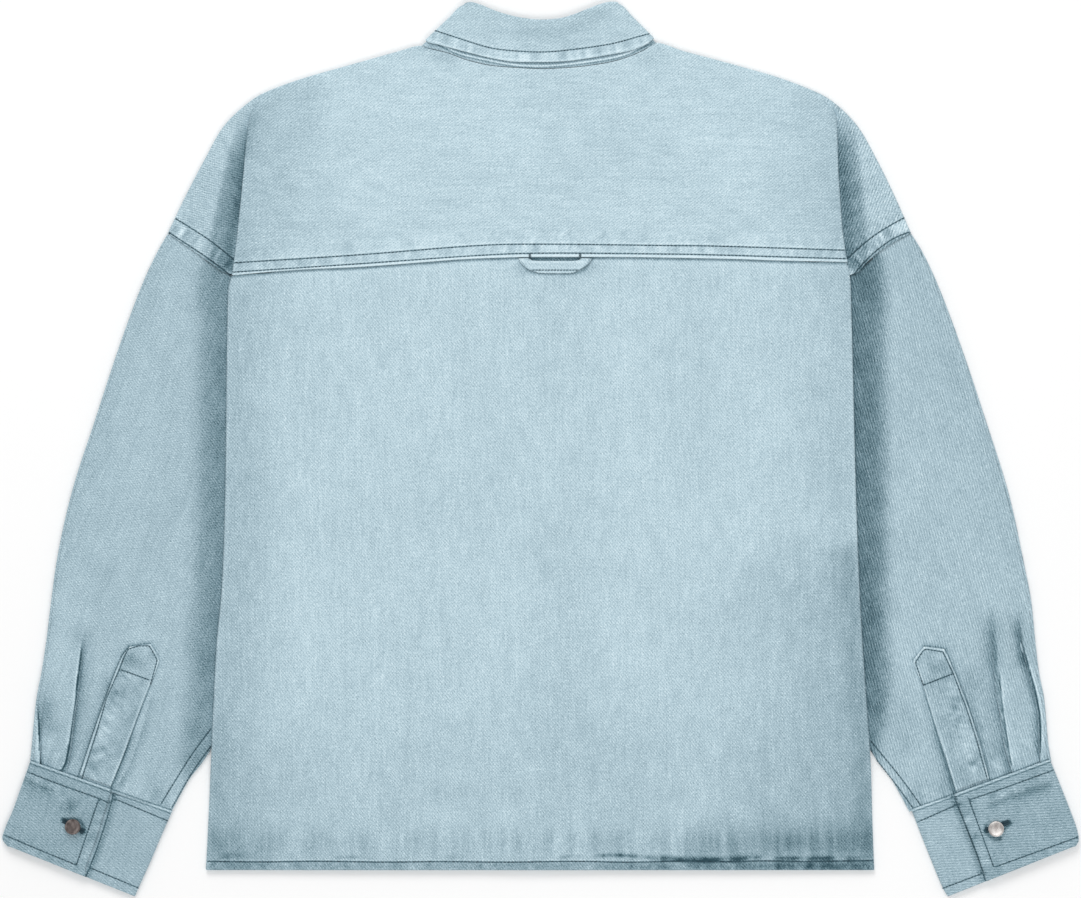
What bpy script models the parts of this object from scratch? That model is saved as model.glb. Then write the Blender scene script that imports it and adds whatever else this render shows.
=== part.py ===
"""Denim shirt, boxy with dropped shoulders, laid flat on its front with its back up.

+Z is up, +Y runs towards the collar, z = 0 is the surface that it lies on, and the
origin is below the middle of the whole outline. The tables are in millimetres. "out" is
the distance from the centre line, "up" the distance above the middle of the shirt, and
a column named left or right holds that side, seen from above. Every height is that of
the middle of a wall of cloth.
"""

import bisect
import math

import bmesh
import bpy
import numpy as np
from mathutils import Vector

MM = 0.001

# Driving dimensions, in millimetres.
CLOTH = 1.2
SEAM_GAP = 0.3
LAYER = CLOTH + SEAM_GAP
CUFF_WALL = 2.0
FLOOR = CLOTH / 2
HEM_UP = -378.8
FRONT_LAP = 16.0
SIDE_ROLL = 1.5
SIDE_TURN = 30.0
SHOULDER_TURN = 9.0
YOKE_LAP = 8.0
TUCK_RADIUS = LAYER / 2
SLEEVE_FLAP = 10.0
HIDDEN_SLEEVE = FLOOR + 1.8
BUTTON_ACROSS = 14.0
FRONT_BUTTONS_UP = (274.0, 236.0, 141.0, 46.0, -49.0, -144.0, -239.0)
LEFT, RIGHT = "left", "right"
SIGN = {LEFT: -1.0, RIGHT: 1.0}


def table(columns, *rows):
    """Rows of numbers under named columns."""
    return {name: [row[i] for row in rows] for i, name in enumerate(columns.split())}


# The shoulder line, from the neck to the point where the sleeve side begins.
SHOULDER = table(
    "out left right",
    (106, 364.5, 366.5),
    (118, 360.5, 361),
    (162, 348, 349),
    (210, 334.5, 335.5),
    (244, 322.5, 323),
    (258, 315, 316),
    (268, 308, 310.5),
    (277, 300, 301.5),
)
# The outer edge below it, down the sleeve to the cuff.
SLEEVE_SIDE = table(
    "up left right",
    (300, 277, 278.5),
    (290, 285, 285.5),
    (270, 296.5, 297.5),
    (244, 311, 311),
    (208, 328.5, 327.5),
    (195, 334.5, 333),
    (170, 348.5, 348),
    (128, 366, 365),
    (80, 383, 383),
    (28, 400, 400),
    (-27, 417.5, 418),
    (-64, 428.5, 427),
    (-100, 435, 434.5),
    (-136, 440, 441.5),
    (-184, 446, 446.5),
    (-210, 450.5, 450),
    (-229, 454, 454),
    (-256, 456.5, 456),
    (-281, 459, 459.5),
)
# The edge of the body, from the top of the shoulder tuck to the hem.
BODY_SIDE = table(
    "up left right",
    (316, 256, 260),
    (304, 259.5, 266),
    (290, 263, 267),
    (254, 266.5, 268),
    (222, 269.7, 270),
    (190, 273, 272.5),
    (170, 275.5, 276),
    (156, 277.3, 278.3),
    (149, 280, 279),
    (134, 281, 279.5),
    (35, 282.5, 282),
    (-28, 283, 283.5),
    (-100, 285.5, 286),
    (-136, 287, 287.5),
    (-187, 292, 290.5),
    (-245, 294.5, 294.5),
    (-290, 296.7, 297.5),
    (-341, 299, 299),
    (-379, 301, 300.5),
)
# Height of the side turn, which passes over the sleeve and comes down below it.
SIDE_HEIGHT = table(
    "up low",
    (200, 3.9),
    (-272, 3.9),
    (-288, 2.9),
    (-308, 1.1),
    (-330, 0.6),
    (-380, 0.6),
)
# The tuck at the shoulder: how far it turns, how deep it is laid and how high it lies.
SHOULDER_TUCK = table(
    "up angle straight top",
    (150, 180, 16, 6.9),
    (200, 180, 12, 6.9),
    (250, 180, 6, 6.9),
    (284, 176, 1.5, 6.9),
    (296, 100, 1.0, 6.4),
    (306, 30, 2.0, 5.4),
    (316, 5, 5.0, 4.4),
)
# The roll over the shoulder line, by the distance from the neck.
SHOULDER_ROLL = table(
    "from_neck low high",
    (0, 2.1, 4.2),
    (45, 2.1, 4.5),
    (75, 0.6, 4.0),
    (700, 0.6, 4.0),
)
YOKE_EDGE = table(
    "across up",
    (-277.5, 156),
    (-216.5, 161),
    (-162.5, 163.5),
    (-108.5, 167.5),
    (-59, 171),
    (0, 172.5),
    (53.5, 172.5),
    (161.5, 171),
    (224.5, 169),
    (276, 168),
)
# Lower edge of the dropped shoulder, from the outline to the body.
ARMHOLE = {
    LEFT: ((335.4, 193.8), (307, 174.5), (279.4, 154.6)),
    RIGHT: ((333.6, 193.9), (304, 177), (279.5, 153)),
}
UNDERARM = ((136, 64.5), (189.5, -37), (241.5, -145), (274, -221.5), (296.5, -271), (315.5, -297), (331.6, -326.4))
BACK_NECK = {
    LEFT: ((107.5, 364), (85, 357.5), (61, 348.5), (37, 344), (0, 342)),
    RIGHT: ((105, 366.5), (88, 357), (64, 348.5), (32, 343.5), (0, 342)),
}
FRONT_NECK = ((106, 364), (99, 332), (82, 300), (50, 270), (24, 258.5), (0, 256))
NECK_RETURN = (-0.5, -8.8)
BACK_ROLL = {
    LEFT: ((69.8, 399.7), (67.8, 402.8), (64.2, 404), (57.5, 402), (45, 396.3), (22.5, 389), (0, 386.3)),
    RIGHT: ((71.3, 400.7), (69.4, 403.4), (65.5, 404.3), (58.5, 402.6), (42, 396), (20.5, 388), (0, 386.3)),
}
FRONT_ROLL = ((71, 399), (68, 362), (55, 328), (32, 302), (8, 292))
BACK_LEAF = {
    LEFT: ((103.5, 368), (97.5, 366.5), (69, 358), (45, 351.5), (22.5, 348), (0, 347.8)),
    RIGHT: ((102.5, 369.5), (88, 361), (64, 355), (32, 349.5), (16, 348.2), (0, 347.8)),
}
FRONT_LEAF = ((103.5, 368), (112, 342), (108, 306), (90, 266), (62, 236))
# How the sleeve stands up between the armhole and the cuff, by the share of its length.
SLEEVE_RISE = table(
    "share middle edge inner",
    (0, 2.4, 0.9, 0.9),
    (0.02, 2.9, 1.1, 0.9),
    (0.05, 4.0, 1.5, 0.9),
    (0.1, 4.8, 1.7, 0.9),
    (0.25, 5.2, 1.8, 0.9),
    (0.75, 5.2, 2.0, 0.9),
    (0.9, 5.1, 2.2, 1.2),
    (1, 5.1, 2.25, 1.6),
)
# The two pleats at each cuff: how far in from the edge, how far turned and how deep.
PLEATS = {
    LEFT: (
        table(
            "up at angle straight",
            (-100, 7, 1, 2),
            (-190, 7, 3, 2),
            (-210, 6.5, 20, 2),
            (-228, 6.5, 70, 1.3),
            (-243, 7, 130, 0.5),
            (-255, 7.5, 178, 0.5),
            (-281, 9, 180, 3.5),
        ),
        table(
            "up at angle straight",
            (-100, 36, 1, 2),
            (-145, 36, 12, 3),
            (-165, 35, 60, 1.5),
            (-185, 35.5, 120, 0.6),
            (-200, 36.5, 175, 0.3),
            (-225, 37, 180, 3.5),
            (-255, 36.5, 180, 7),
            (-281, 34.5, 180, 8.5),
        ),
    ),
    RIGHT: (
        table(
            "up at angle straight",
            (-90, 12, 1, 2),
            (-120, 12.5, 4, 3),
            (-145, 12.5, 30, 2.2),
            (-170, 12, 90, 1),
            (-190, 11, 150, 0.5),
            (-203, 10, 178, 0.4),
            (-240, 7.5, 180, 3),
            (-281, 10, 180, 4.5),
        ),
        table(
            "up at angle straight",
            (-90, 37, 1, 2),
            (-120, 38, 4, 3),
            (-150, 39.5, 25, 2.5),
            (-175, 41, 80, 1.2),
            (-195, 42, 140, 0.5),
            (-210, 42.5, 178, 0.4),
            (-240, 42, 180, 4.5),
            (-281, 36, 180, 8),
        ),
    ),
}
# Each cuff's two ends from its upper edge to its lower one, and where it laps.
CUFF = {
    LEFT: table(
        "share outer_out outer_up inner_out inner_up lap",
        (0, 459.2, -281.8, 331.6, -327.2, 0.573),
        (0.35, 468, -306.5, 342.5, -352, 0.59),
        (0.7, 477.5, -333, 353.5, -378, 0.605),
        (0.94, 484, -350, 362.5, -397.5, 0.615),
        (1, 479.5, -356.5, 364.5, -402.5, 0.62),
    ),
    RIGHT: table(
        "share outer_out outer_up inner_out inner_up lap",
        (0, 459.4, -281.6, 334.6, -327, 0.69),
        (0.35, 468.5, -304, 343.5, -350, 0.695),
        (0.7, 480, -334.5, 354, -376, 0.7),
        (0.94, 484.5, -351, 363, -397, 0.7),
        (1, 482, -356.5, 366.5, -402.5, 0.7),
    ),
}
CUFF_UNDERLAP = 0.16
CUFF_LEVELS = {"under": 1.01, "middle": 3.81, "over": 6.11}
# Each placket's two long edges, from the cuff to its pointed top.
PLACKET = {
    LEFT: table(
        "share open_out open_up closed_out closed_up",
        (0, 387, -304.9, 414.5, -294.9),
        (0.2, 376, -278, 406.5, -270),
        (0.45, 363.5, -244, 396, -239),
        (0.7, 350, -209, 383.5, -205),
        (0.88, 342.8, -190, 375.5, -186),
        (1, 350.5, -175.5, 369, -178),
    ),
    RIGHT: table(
        "share closed_out closed_up open_out open_up",
        (0, 404, -298.9, 374.5, -309.8),
        (0.2, 395.5, -266, 364, -276),
        (0.45, 384, -230.5, 352.5, -239.5),
        (0.7, 372.5, -201, 341.5, -206),
        (0.88, 366, -186, 335, -191.5),
        (1, 363, -180, 345, -177.8),
    ),
}
# The locker loop's lower and upper outline, from end to end.
LOOP = table(
    "lower_across lower_up upper_across upper_up",
    (-19.8, 171.2, -9.2, 171.8),
    (-16, 165.5, -8.6, 170.6),
    (-11, 161.6, -7, 169.6),
    (1, 158, 1, 169.2),
    (14, 157.8, 14, 169.2),
    (27, 158, 27, 169.2),
    (38, 162.8, 33, 169.6),
    (43.5, 166.5, 35.2, 170.6),
    (46.6, 171.2, 36, 171.8),
)
CUFF_BUTTON = {LEFT: (420.0, -339.5), RIGHT: (409.5, -341.5)}

# Colour, roughness and metallic value of each kind of piece.
BODY_DENIM = (0.49, 0.64, 0.71), 0.85, 0.0
SLEEVE_DENIM = (0.4, 0.53, 0.6), 0.85, 0.0
CUFF_DENIM = (0.32, 0.44, 0.5), 0.85, 0.0
COLLAR_DENIM = (0.42, 0.56, 0.63), 0.85, 0.0
BUTTON_METAL = (0.42, 0.38, 0.35), 0.35, 1.0


def ease(t):
    """0 to 1 with level ends."""
    t = min(max(t, 0.0), 1.0)
    return t * t * (3 - 2 * t)


def blend(a, b, t):
    return a + (b - a) * t


def read(rows, column, at):
    """A column's value at a place along the first column, on a smooth curve with no overshoot."""
    xs, ys = rows[next(iter(rows))], rows[column]
    if xs[0] > xs[-1]:
        xs, ys = xs[::-1], ys[::-1]
    at = min(max(at, xs[0]), xs[-1])
    i = min(bisect.bisect_right(xs, at) - 1, len(xs) - 2)
    rise = [(ys[k + 1] - ys[k]) / (xs[k + 1] - xs[k]) for k in range(len(xs) - 1)]

    def slope(k):
        if k in (0, len(xs) - 1):
            return rise[min(k, len(rise) - 1)]
        before, after = rise[k - 1], rise[k]
        return 0.0 if before * after <= 0 else 2 * before * after / (before + after)

    step = xs[i + 1] - xs[i]
    t = (at - xs[i]) / step
    start, end = ys[i], ys[i + 1]
    return (
        start * (1 + 2 * t) * (1 - t) ** 2
        + end * t * t * (3 - 2 * t)
        + step * (slope(i) * t * (1 - t) ** 2 - slope(i + 1) * t * t * (1 - t))
    )


def along(points, shares):
    """Points at given shares of the length of a smooth curve through some points."""
    knots = np.array([np.subtract(np.multiply(2, points[0]), points[1]), *points,
                      np.subtract(np.multiply(2, points[-1]), points[-2])], float)
    fine = []
    for a, b, c, d in zip(knots, knots[1:], knots[2:], knots[3:]):
        for t in np.linspace(0, 1, 12, endpoint=False):
            fine.append(0.5 * (2 * b + (c - a) * t + (2 * a - 5 * b + 4 * c - d) * t**2 + (3 * b - a - 3 * c + d) * t**3))
    fine = np.array([*fine, knots[-2]])
    length = np.concatenate([[0], np.cumsum(np.linalg.norm(np.diff(fine, axis=0), axis=1))])
    return np.stack([np.interp(np.multiply(shares, length[-1]), length, axis) for axis in fine.T], axis=1)


def shares(count):
    return np.linspace(0, 1, count)


def side_of(across):
    return RIGHT if across > 0 else LEFT


def body_edge(side, up):
    return read(BODY_SIDE, side, up)


def tuck(angle, straight, bends=2):
    """Mid-line of a Z tuck as (run, drop) from its start: out to the fold, back under, out again."""
    turn = math.radians(angle)
    first = [turn * k / bends for k in range(bends + 1)]
    points = [(TUCK_RADIUS * math.sin(a), TUCK_RADIUS * (1 - math.cos(a))) for a in first]
    run = points[-1][0] + straight * math.cos(turn)
    drop = points[-1][1] + straight * math.sin(turn)
    for a in reversed(first):
        points.append((run + TUCK_RADIUS * (math.sin(turn) - math.sin(a)),
                       drop + TUCK_RADIUS * (math.cos(a) - math.cos(turn))))
    return points


def tuck_lead(angle):
    """How far a tuck's fold reaches past its start."""
    return TUCK_RADIUS * math.sin(math.radians(min(angle, 90)))


# Heights


def under_edge(out, up):
    """Distance inside the hidden edge of the sleeve: over 0 where the body lies on the sleeve."""
    if up > UNDERARM[0][1]:
        run = (ARMHOLE[LEFT][0][0] - UNDERARM[0][0]) / (ARMHOLE[LEFT][0][1] - UNDERARM[0][1])
        return (out - UNDERARM[0][0] - (up - UNDERARM[0][1]) * run) / math.hypot(1, run)
    ups = [point[1] for point in UNDERARM][::-1]
    outs = [point[0] for point in UNDERARM][::-1]
    return out - float(np.interp(up, ups, outs))


def front_height(across, up, outer):
    """Height of a front: level on the floor, raised over the sleeve, at the band and by the collar."""
    out = abs(across)
    over = ease((under_edge(out, up) + 64) / 30)
    over *= 1 - ease((out - blend(249.6, 234, ease((up - 143) / 12))) / 12) * ease((up - 110) / 27)
    low = read(SIDE_HEIGHT, "low", up) - FLOOR
    neck = LAYER * (1 - ease((math.hypot(out, up - 350) - 152) / 28))
    beyond = -across if outer else across
    if outer:
        band = (LAYER + 0.5) * (1 - ease((beyond - 18) / 16))
    else:
        band = (2 * LAYER + 0.5) * (1 - ease((beyond - 20) / 24))
    return FLOOR + max(low * over, neck, band)


def centre_height(up):
    return blend(4.6, 5.8, ease((up + 378) / 90))


def band_rise(across, up):
    return blend(1.2, 0.6, ease((up + 378) / 90)) * math.exp(-((across / 36) ** 2))


def back_height(across, up):
    """Height of the back panel where it lies level, before its lap under the yoke."""
    side, out = side_of(across), abs(across)
    top = read(SIDE_HEIGHT, "low", up) + 2 * SIDE_ROLL
    edge = body_edge(side, up)
    level = blend(centre_height(up), top, ease((out - 150) / (edge - 156)))
    return level + band_rise(across, up)


def yoke_edge_height(across):
    return 6.9 + 0.5 * math.exp(-((across / 45) ** 2))


def yoke_height(across, up):
    """Height of the yoke between its lower edge, its tucks and the neck."""
    side, out = side_of(across), abs(across)
    middle = read(YOKE_MIDDLE, "height", up) + band_rise(across, up) * ease((300 - up) / 40)
    top = read(SHOULDER_TUCK, "top", up)
    level = blend(middle, top, ease((out - 150) / (body_edge(side, up) - 156)))
    lip = math.exp(-max(up - read(YOKE_EDGE, "up", across), 0) / 16)
    return blend(level, yoke_edge_height(across), lip)


YOKE_MIDDLE = table("up height", (150, 5.8), (260, 5.8), (310, 5.2), (345, 4.3))
YOKE_ROWS = (0, 0.07, 0.2, 0.38, 0.56, 0.74, 0.9, 1)


def sleeve_height(side, share, out, up):
    """Height of a sleeve's upper layer, which dips where the body lies on it."""
    clear = ease((out - body_edge(side, up) - 2) / 42)
    held = ease((up + 285) / 50)
    return blend(HIDDEN_SLEEVE, read(SLEEVE_RISE, "middle", share), 1 - (1 - clear) * held)


# Building


def add_object(name, mesh, collection, finish):
    """Links a named object with a material of its own."""
    colour, roughness, metallic = finish
    made_of = bpy.data.materials.new(f"{name} material")
    made_of.use_nodes = True
    shader = made_of.node_tree.nodes["Principled BSDF"]
    shader.inputs["Base Color"].default_value = (*colour, 1.0)
    shader.inputs["Roughness"].default_value = roughness
    shader.inputs["Metallic"].default_value = metallic
    mesh.materials.append(made_of)
    thing = bpy.data.objects.new(name, mesh)
    collection.objects.link(thing)
    return thing


def wall(name, grid, collection, finish, thickness=CLOTH, left_out=None, joined=False):
    """A wall of cloth on a grid of mid-surface points, with no face where left_out says so."""
    columns = len(grid[0])
    shape = bmesh.new()
    bmesh.ops.create_grid(shape, x_segments=columns - 1, y_segments=len(grid) - 1, size=1.0)
    shape.verts.ensure_lookup_table()
    for vert, point in zip(shape.verts, [point for row in grid for point in row]):
        vert.co = Vector(point) * MM
    if left_out:
        doomed = []
        for face in shape.faces:
            row, column = divmod(min(vert.index for vert in face.verts), columns)
            if left_out(row, column):
                doomed.append(face)
        bmesh.ops.delete(shape, geom=doomed, context="FACES")
    if joined:
        bmesh.ops.remove_doubles(shape, verts=shape.verts, dist=0.0001 * MM)
    mesh = bpy.data.meshes.new(name)
    shape.to_mesh(mesh)
    shape.free()
    mesh.shade_smooth()
    thing = add_object(name, mesh, collection, finish)
    solid = thing.modifiers.new("Cloth", "SOLIDIFY")
    solid.thickness = thickness * MM
    solid.offset = 0.0
    solid.use_even_offset = True
    return thing


# The back


def outline(side):
    """The shoulder line and the dropped shoulder's edge, from the neck to the armhole seam."""
    shoulder = list(zip(SHOULDER["out"], SHOULDER[side]))
    end = ARMHOLE[side][0]
    drop = [(read(SLEEVE_SIDE, side, up), up) for up in (290, 270, 244, 220, 205)]
    return shoulder + drop + [end]


def tuck_points(side, share):
    """The tuck's points at one share of the way from the yoke's lower edge to the shoulder line."""
    upper = blend(read(YOKE_EDGE, "up", SIGN[side] * 277), 314, share)
    lower = blend(ARMHOLE[side][-1][1], 312, share)
    points = []
    for k in range(8):
        up = blend(upper, lower, ease((k - 2) / 5))
        angle = read(SHOULDER_TUCK, "angle", up)
        run, drop = tuck(angle, read(SHOULDER_TUCK, "straight", up), bends=3)[k]
        start = body_edge(side, up) - FLOOR - tuck_lead(angle)
        points.append((start + run, up, read(SHOULDER_TUCK, "top", up) - drop))
    return points


def neck_side(side):
    """Where the shoulder meets the collar: the seam there, the way up the stand and the way out."""
    seam, roll, _, face = collar_stations(side)[BACK_STATIONS + 1]
    return seam, (roll - seam) / math.dist(roll, seam), np.array(face[:2])


def yoke_ribs(side):
    """The yoke's ribs on one side, from the neck to the armhole seam, each from the lower edge round the shoulder."""
    edge = outline(side)
    reach = np.concatenate([[0], np.cumsum([math.dist(a, b) for a, b in zip(edge, edge[1:])])])
    tuck_at = float(np.interp(252, [point[0] for point in edge[:8]], reach[:8]))
    total = reach[-1]
    first, last = 6, 13
    tops = [blend(0, tuck_at, t) for t in (0, 0.16, 0.34, 0.52, 0.7, 0.86)]
    tops += [tuck_at + k for k in range(8)]
    tops += [blend(tuck_at + 7, total, t) for t in (0.25, 0.5, 0.75, 1)]
    plan = along(edge, [t / total for t in tops])
    tangent = np.gradient(plan, axis=0)
    normal = np.stack([-tangent[:, 1], tangent[:, 0]], axis=1)
    normal /= np.linalg.norm(normal, axis=1)[:, None]
    tucks = [tuck_points(side, share) for share in YOKE_ROWS]
    feet = [blend(108, tucks[0][0][0], t) for t in (0, 0.2, 0.4, 0.6, 0.8, 0.92)]
    arm = along(ARMHOLE[side], [0.88, 0.74, 0.58, 0.4])
    arm_end = along(ARMHOLE[side], [0.4 * (1 - share) for share in YOKE_ROWS])
    ribs = []
    for i, (top, out_way) in enumerate(zip(plan, normal)):
        low = read(SHOULDER_ROLL, "low", tops[i])
        high = read(SHOULDER_ROLL, "high", tops[i])
        radius = (high - low) / 2
        centre = top - out_way * (FLOOR + radius)
        turn_end = centre - out_way * SHOULDER_TURN
        if i == 0:
            seam, way, out_way = neck_side(side)
            centre = seam - way * SEAM_GAP
            turn_end = centre + NECK_RETURN
        rib = []
        for row, share in enumerate(YOKE_ROWS):
            settle = ease((share - 0.6) / 0.4)
            if first <= i <= last:
                x, y, z = tucks[row][i - first]
                if share == 1:
                    (x, y), z = centre, high
            elif i < first:
                foot = np.array([feet[i], read(YOKE_EDGE, "up", SIGN[side] * feet[i])])
                chord = blend(np.array(tucks[0][0][:2]), np.array(tucks[-1][0][:2]), share)
                x, y = blend(foot, centre, share) + (i / first) ** 2 * (np.array(tucks[row][0][:2]) - chord)
                z = blend(yoke_height(SIGN[side] * x, y), high, settle)
            else:
                share_in = (i - last) / (len(plan) - 1 - last)
                chord = blend(np.array(tucks[0][-1][:2]), np.array(tucks[-1][-1][:2]), share)
                x, y = blend(arm[i - last - 1], centre, share) + (1 - share_in) * (np.array(tucks[row][-1][:2]) - chord)
                if i == len(plan) - 1:
                    x, y = blend(arm_end[row], centre, share**3)
                swell = 0.9 * math.sin(math.pi * share_in) * (1 - settle)
                z = blend(blend(tucks[row][-1][2], high, ease(share_in)), high, settle) + swell
            rib.append((SIGN[side] * x, y, z))
        for turn in (45, 90, 135, 180):
            a = math.radians(turn)
            x, y = centre + out_way * radius * math.sin(a)
            rib.append((SIGN[side] * x, y, low + radius + radius * math.cos(a)))
        rib.append((SIGN[side] * turn_end[0], turn_end[1], low))
        ribs.append(rib)
    return ribs


def back_yoke(collection):
    left, right = yoke_ribs(LEFT), yoke_ribs(RIGHT)
    tops = []
    for side in (LEFT, RIGHT):
        stations = collar_stations(side)[: BACK_STATIONS - 1]
        line = []
        for seam, roll, _, _ in stations:
            x, y = seam - (roll - seam) / math.dist(roll, seam) * SEAM_GAP
            line.append((SIGN[side] * x, y))
        tops = line[::-1] if side == LEFT else tops + line[1:]
    ribs = left[::-1]
    for i, (x, y) in enumerate(tops):
        foot = blend(-108, 108, (i + 1) / (len(tops) + 1))
        rib = []
        for share in YOKE_ROWS:
            across, up = blend(foot, x, share), blend(read(YOKE_EDGE, "up", foot), y, share)
            rib.append((across, up, blend(yoke_height(across, up), 4.2, ease((share - 0.6) / 0.4))))
        rib += [rib[-1]] * 5
        ribs.append(rib)
    ribs += right
    grid = [[rib[row] for rib in ribs] for row in range(len(ribs[0]))]
    first, last = len(left) - 1, len(left) + len(tops)
    wall("back_yoke", grid, collection, BODY_DENIM,
         left_out=lambda row, column: row >= len(YOKE_ROWS) - 1 and first <= column < last)


PANEL_LEVELS = (0, 0.05, 0.0955, 0.1386, 0.174, 0.209, 0.3, 0.375, 0.475, 0.6, 0.72, 0.81, 0.88, 0.94, 0.98, 1)
ARMHOLE_FALL = 19.4


def back_panel(collection):
    across = [-1, -0.95, -0.88, -0.76, -0.6, -0.4, -0.2, 0, 0.2, 0.4, 0.6, 0.76, 0.88, 0.95, 1]
    turns = (45, 90, 135, 180)

    def rise_at(place, side, step=0.0):
        """The upper end of a column: lapped under the yoke, but butted to it beside the tuck."""
        edge = read(YOKE_EDGE, "up", place)
        inside = body_edge(side, 160) - abs(place)
        lap = blend(YOKE_LAP, -0.5, ease((46 - inside) / 12))
        return blend(edge + lap, ARMHOLE[side][-1][1] - 0.7, step)

    grid = []
    for level in PANEL_LEVELS:
        middle, ends = [], {LEFT: [], RIGHT: []}
        for share in across:
            side = RIGHT if share > 0 else LEFT
            place = share * (body_edge(side, 160) - FLOOR - SIDE_ROLL)
            up = blend(HEM_UP, rise_at(place, side), level)
            out = share * (body_edge(side, up) - FLOOR - SIDE_ROLL)
            height = back_height(out, up)
            edge = read(YOKE_EDGE, "up", out)
            dip = ease((26 - edge + up) / 22) * ease((body_edge(side, up) - abs(out) - 22) / 12)
            lapped = min(yoke_height(out, max(up, edge)), yoke_edge_height(out)) - LAYER
            middle.append((out, up, blend(height, lapped, dip)))
        for side in (LEFT, RIGHT):
            for k, turn in enumerate((*turns, 180, 180)):
                step = (0.15, 0.5, 0.9, 1, 1, 1)[k]
                start = SIGN[side] * (body_edge(side, 160) - FLOOR - SIDE_ROLL)
                seam_drop = ARMHOLE_FALL * max(k - 3, 0) / 2
                up = blend(HEM_UP, rise_at(start, side, step) - seam_drop, level)
                low = read(SIDE_HEIGHT, "low", up)
                out = body_edge(side, up) - FLOOR - SIDE_ROLL
                out += SIDE_ROLL * math.sin(math.radians(turn))
                out -= SIDE_TURN * max(k - 3, 0) / 2
                height = low + SIDE_ROLL * (1 + math.cos(math.radians(turn)))
                ends[side].append((SIGN[side] * out, up, height))
        grid.append(ends[LEFT][::-1] + middle + ends[RIGHT])
    wall("back_panel", grid, collection, BODY_DENIM)


# The fronts


def patch(bottom, top, inner, outer):
    """A grid of plan points that fills four edges, each given as a list of points."""
    rows, columns = len(inner), len(bottom)
    grid = np.empty((rows, columns, 2))
    for i in range(rows):
        v = i / (rows - 1)
        for j in range(columns):
            u = j / (columns - 1)
            corners = (
                (1 - u) * (1 - v) * bottom[0] + u * (1 - v) * bottom[-1]
                + (1 - u) * v * top[0] + u * v * top[-1]
            )
            sides = (1 - u) * inner[i] + u * outer[i]
            grid[i, j] = (1 - v) * bottom[j] + v * top[j] + sides - corners
    return grid


def front(side, collection):
    """A front, from its lapped centre edge to the side seam, the armhole, the shoulder and the neck."""
    sign = SIGN[side]
    ribs = yoke_ribs(side)
    seam_top = ARMHOLE[side][-1][1] - 0.7 - ARMHOLE_FALL
    seam_ups = [blend(HEM_UP, seam_top, level) for level in PANEL_LEVELS]
    seam = [(body_edge(side, up) - FLOOR - SIDE_ROLL - SIDE_TURN - SEAM_GAP - 0.1, up) for up in seam_ups]
    shoulder = []
    for i in (0, 1, 2, 4, 6, 13, 14, 15, 16, 17):
        end, before = np.array(ribs[i][-1][:2]), np.array(ribs[i][-2][:2])
        x, y = end + (end - before) / math.dist(end, before) * (SEAM_GAP + 0.2)
        shoulder.append((sign * x, y))
    tip, start = sleeve_ends(side, 0)
    way = (start - tip) / math.dist(start, tip)
    clear = np.array([way[1], -way[0]]) * (SEAM_GAP + 0.2)
    armhole = [tip + way * (tip[0] - out) / -way[0] + clear for out in (249.5, 262, 284, 305)]
    outer = [*seam, *armhole, shoulder[-1]]
    neck = []
    for edge, roll, _, _ in collar_stations(side)[:-8:-1]:
        neck.append(edge - (roll - edge) / math.dist(roll, edge) * (SEAM_GAP + 0.2))
    corner = (-FRONT_LAP, neck[0][1])
    top = [corner, *neck, *shoulder]
    inner_ups = [*seam_ups, *(blend(seam_ups[-1], corner[1], t) for t in (0.1, 0.3, 0.5, 0.75, 1))]
    inner = [(-FRONT_LAP, up) for up in inner_ups]
    bottom = [inner[0], (0, HEM_UP)] + [(blend(19, seam[0][0], t), HEM_UP) for t in shares(len(top) - 2)]
    plan = patch(*(np.array(line, float) for line in (bottom, top, inner, outer)))
    grid = [[(sign * x, y, front_height(sign * x, y, side == LEFT)) for x, y in row] for row in plan]
    wall(f"front_{side}", grid, collection, BODY_DENIM)


# The sleeves


def sleeve_ends(side, share):
    """A sleeve's outer and inner edge at one share of its length."""
    start, end = ARMHOLE[side][0][1] - 0.5, -281
    up = blend(start, end, share)
    outer = np.array([read(SLEEVE_SIDE, side, up), up])
    inner = along(UNDERARM, [share])[0]
    return outer, inner


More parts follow.
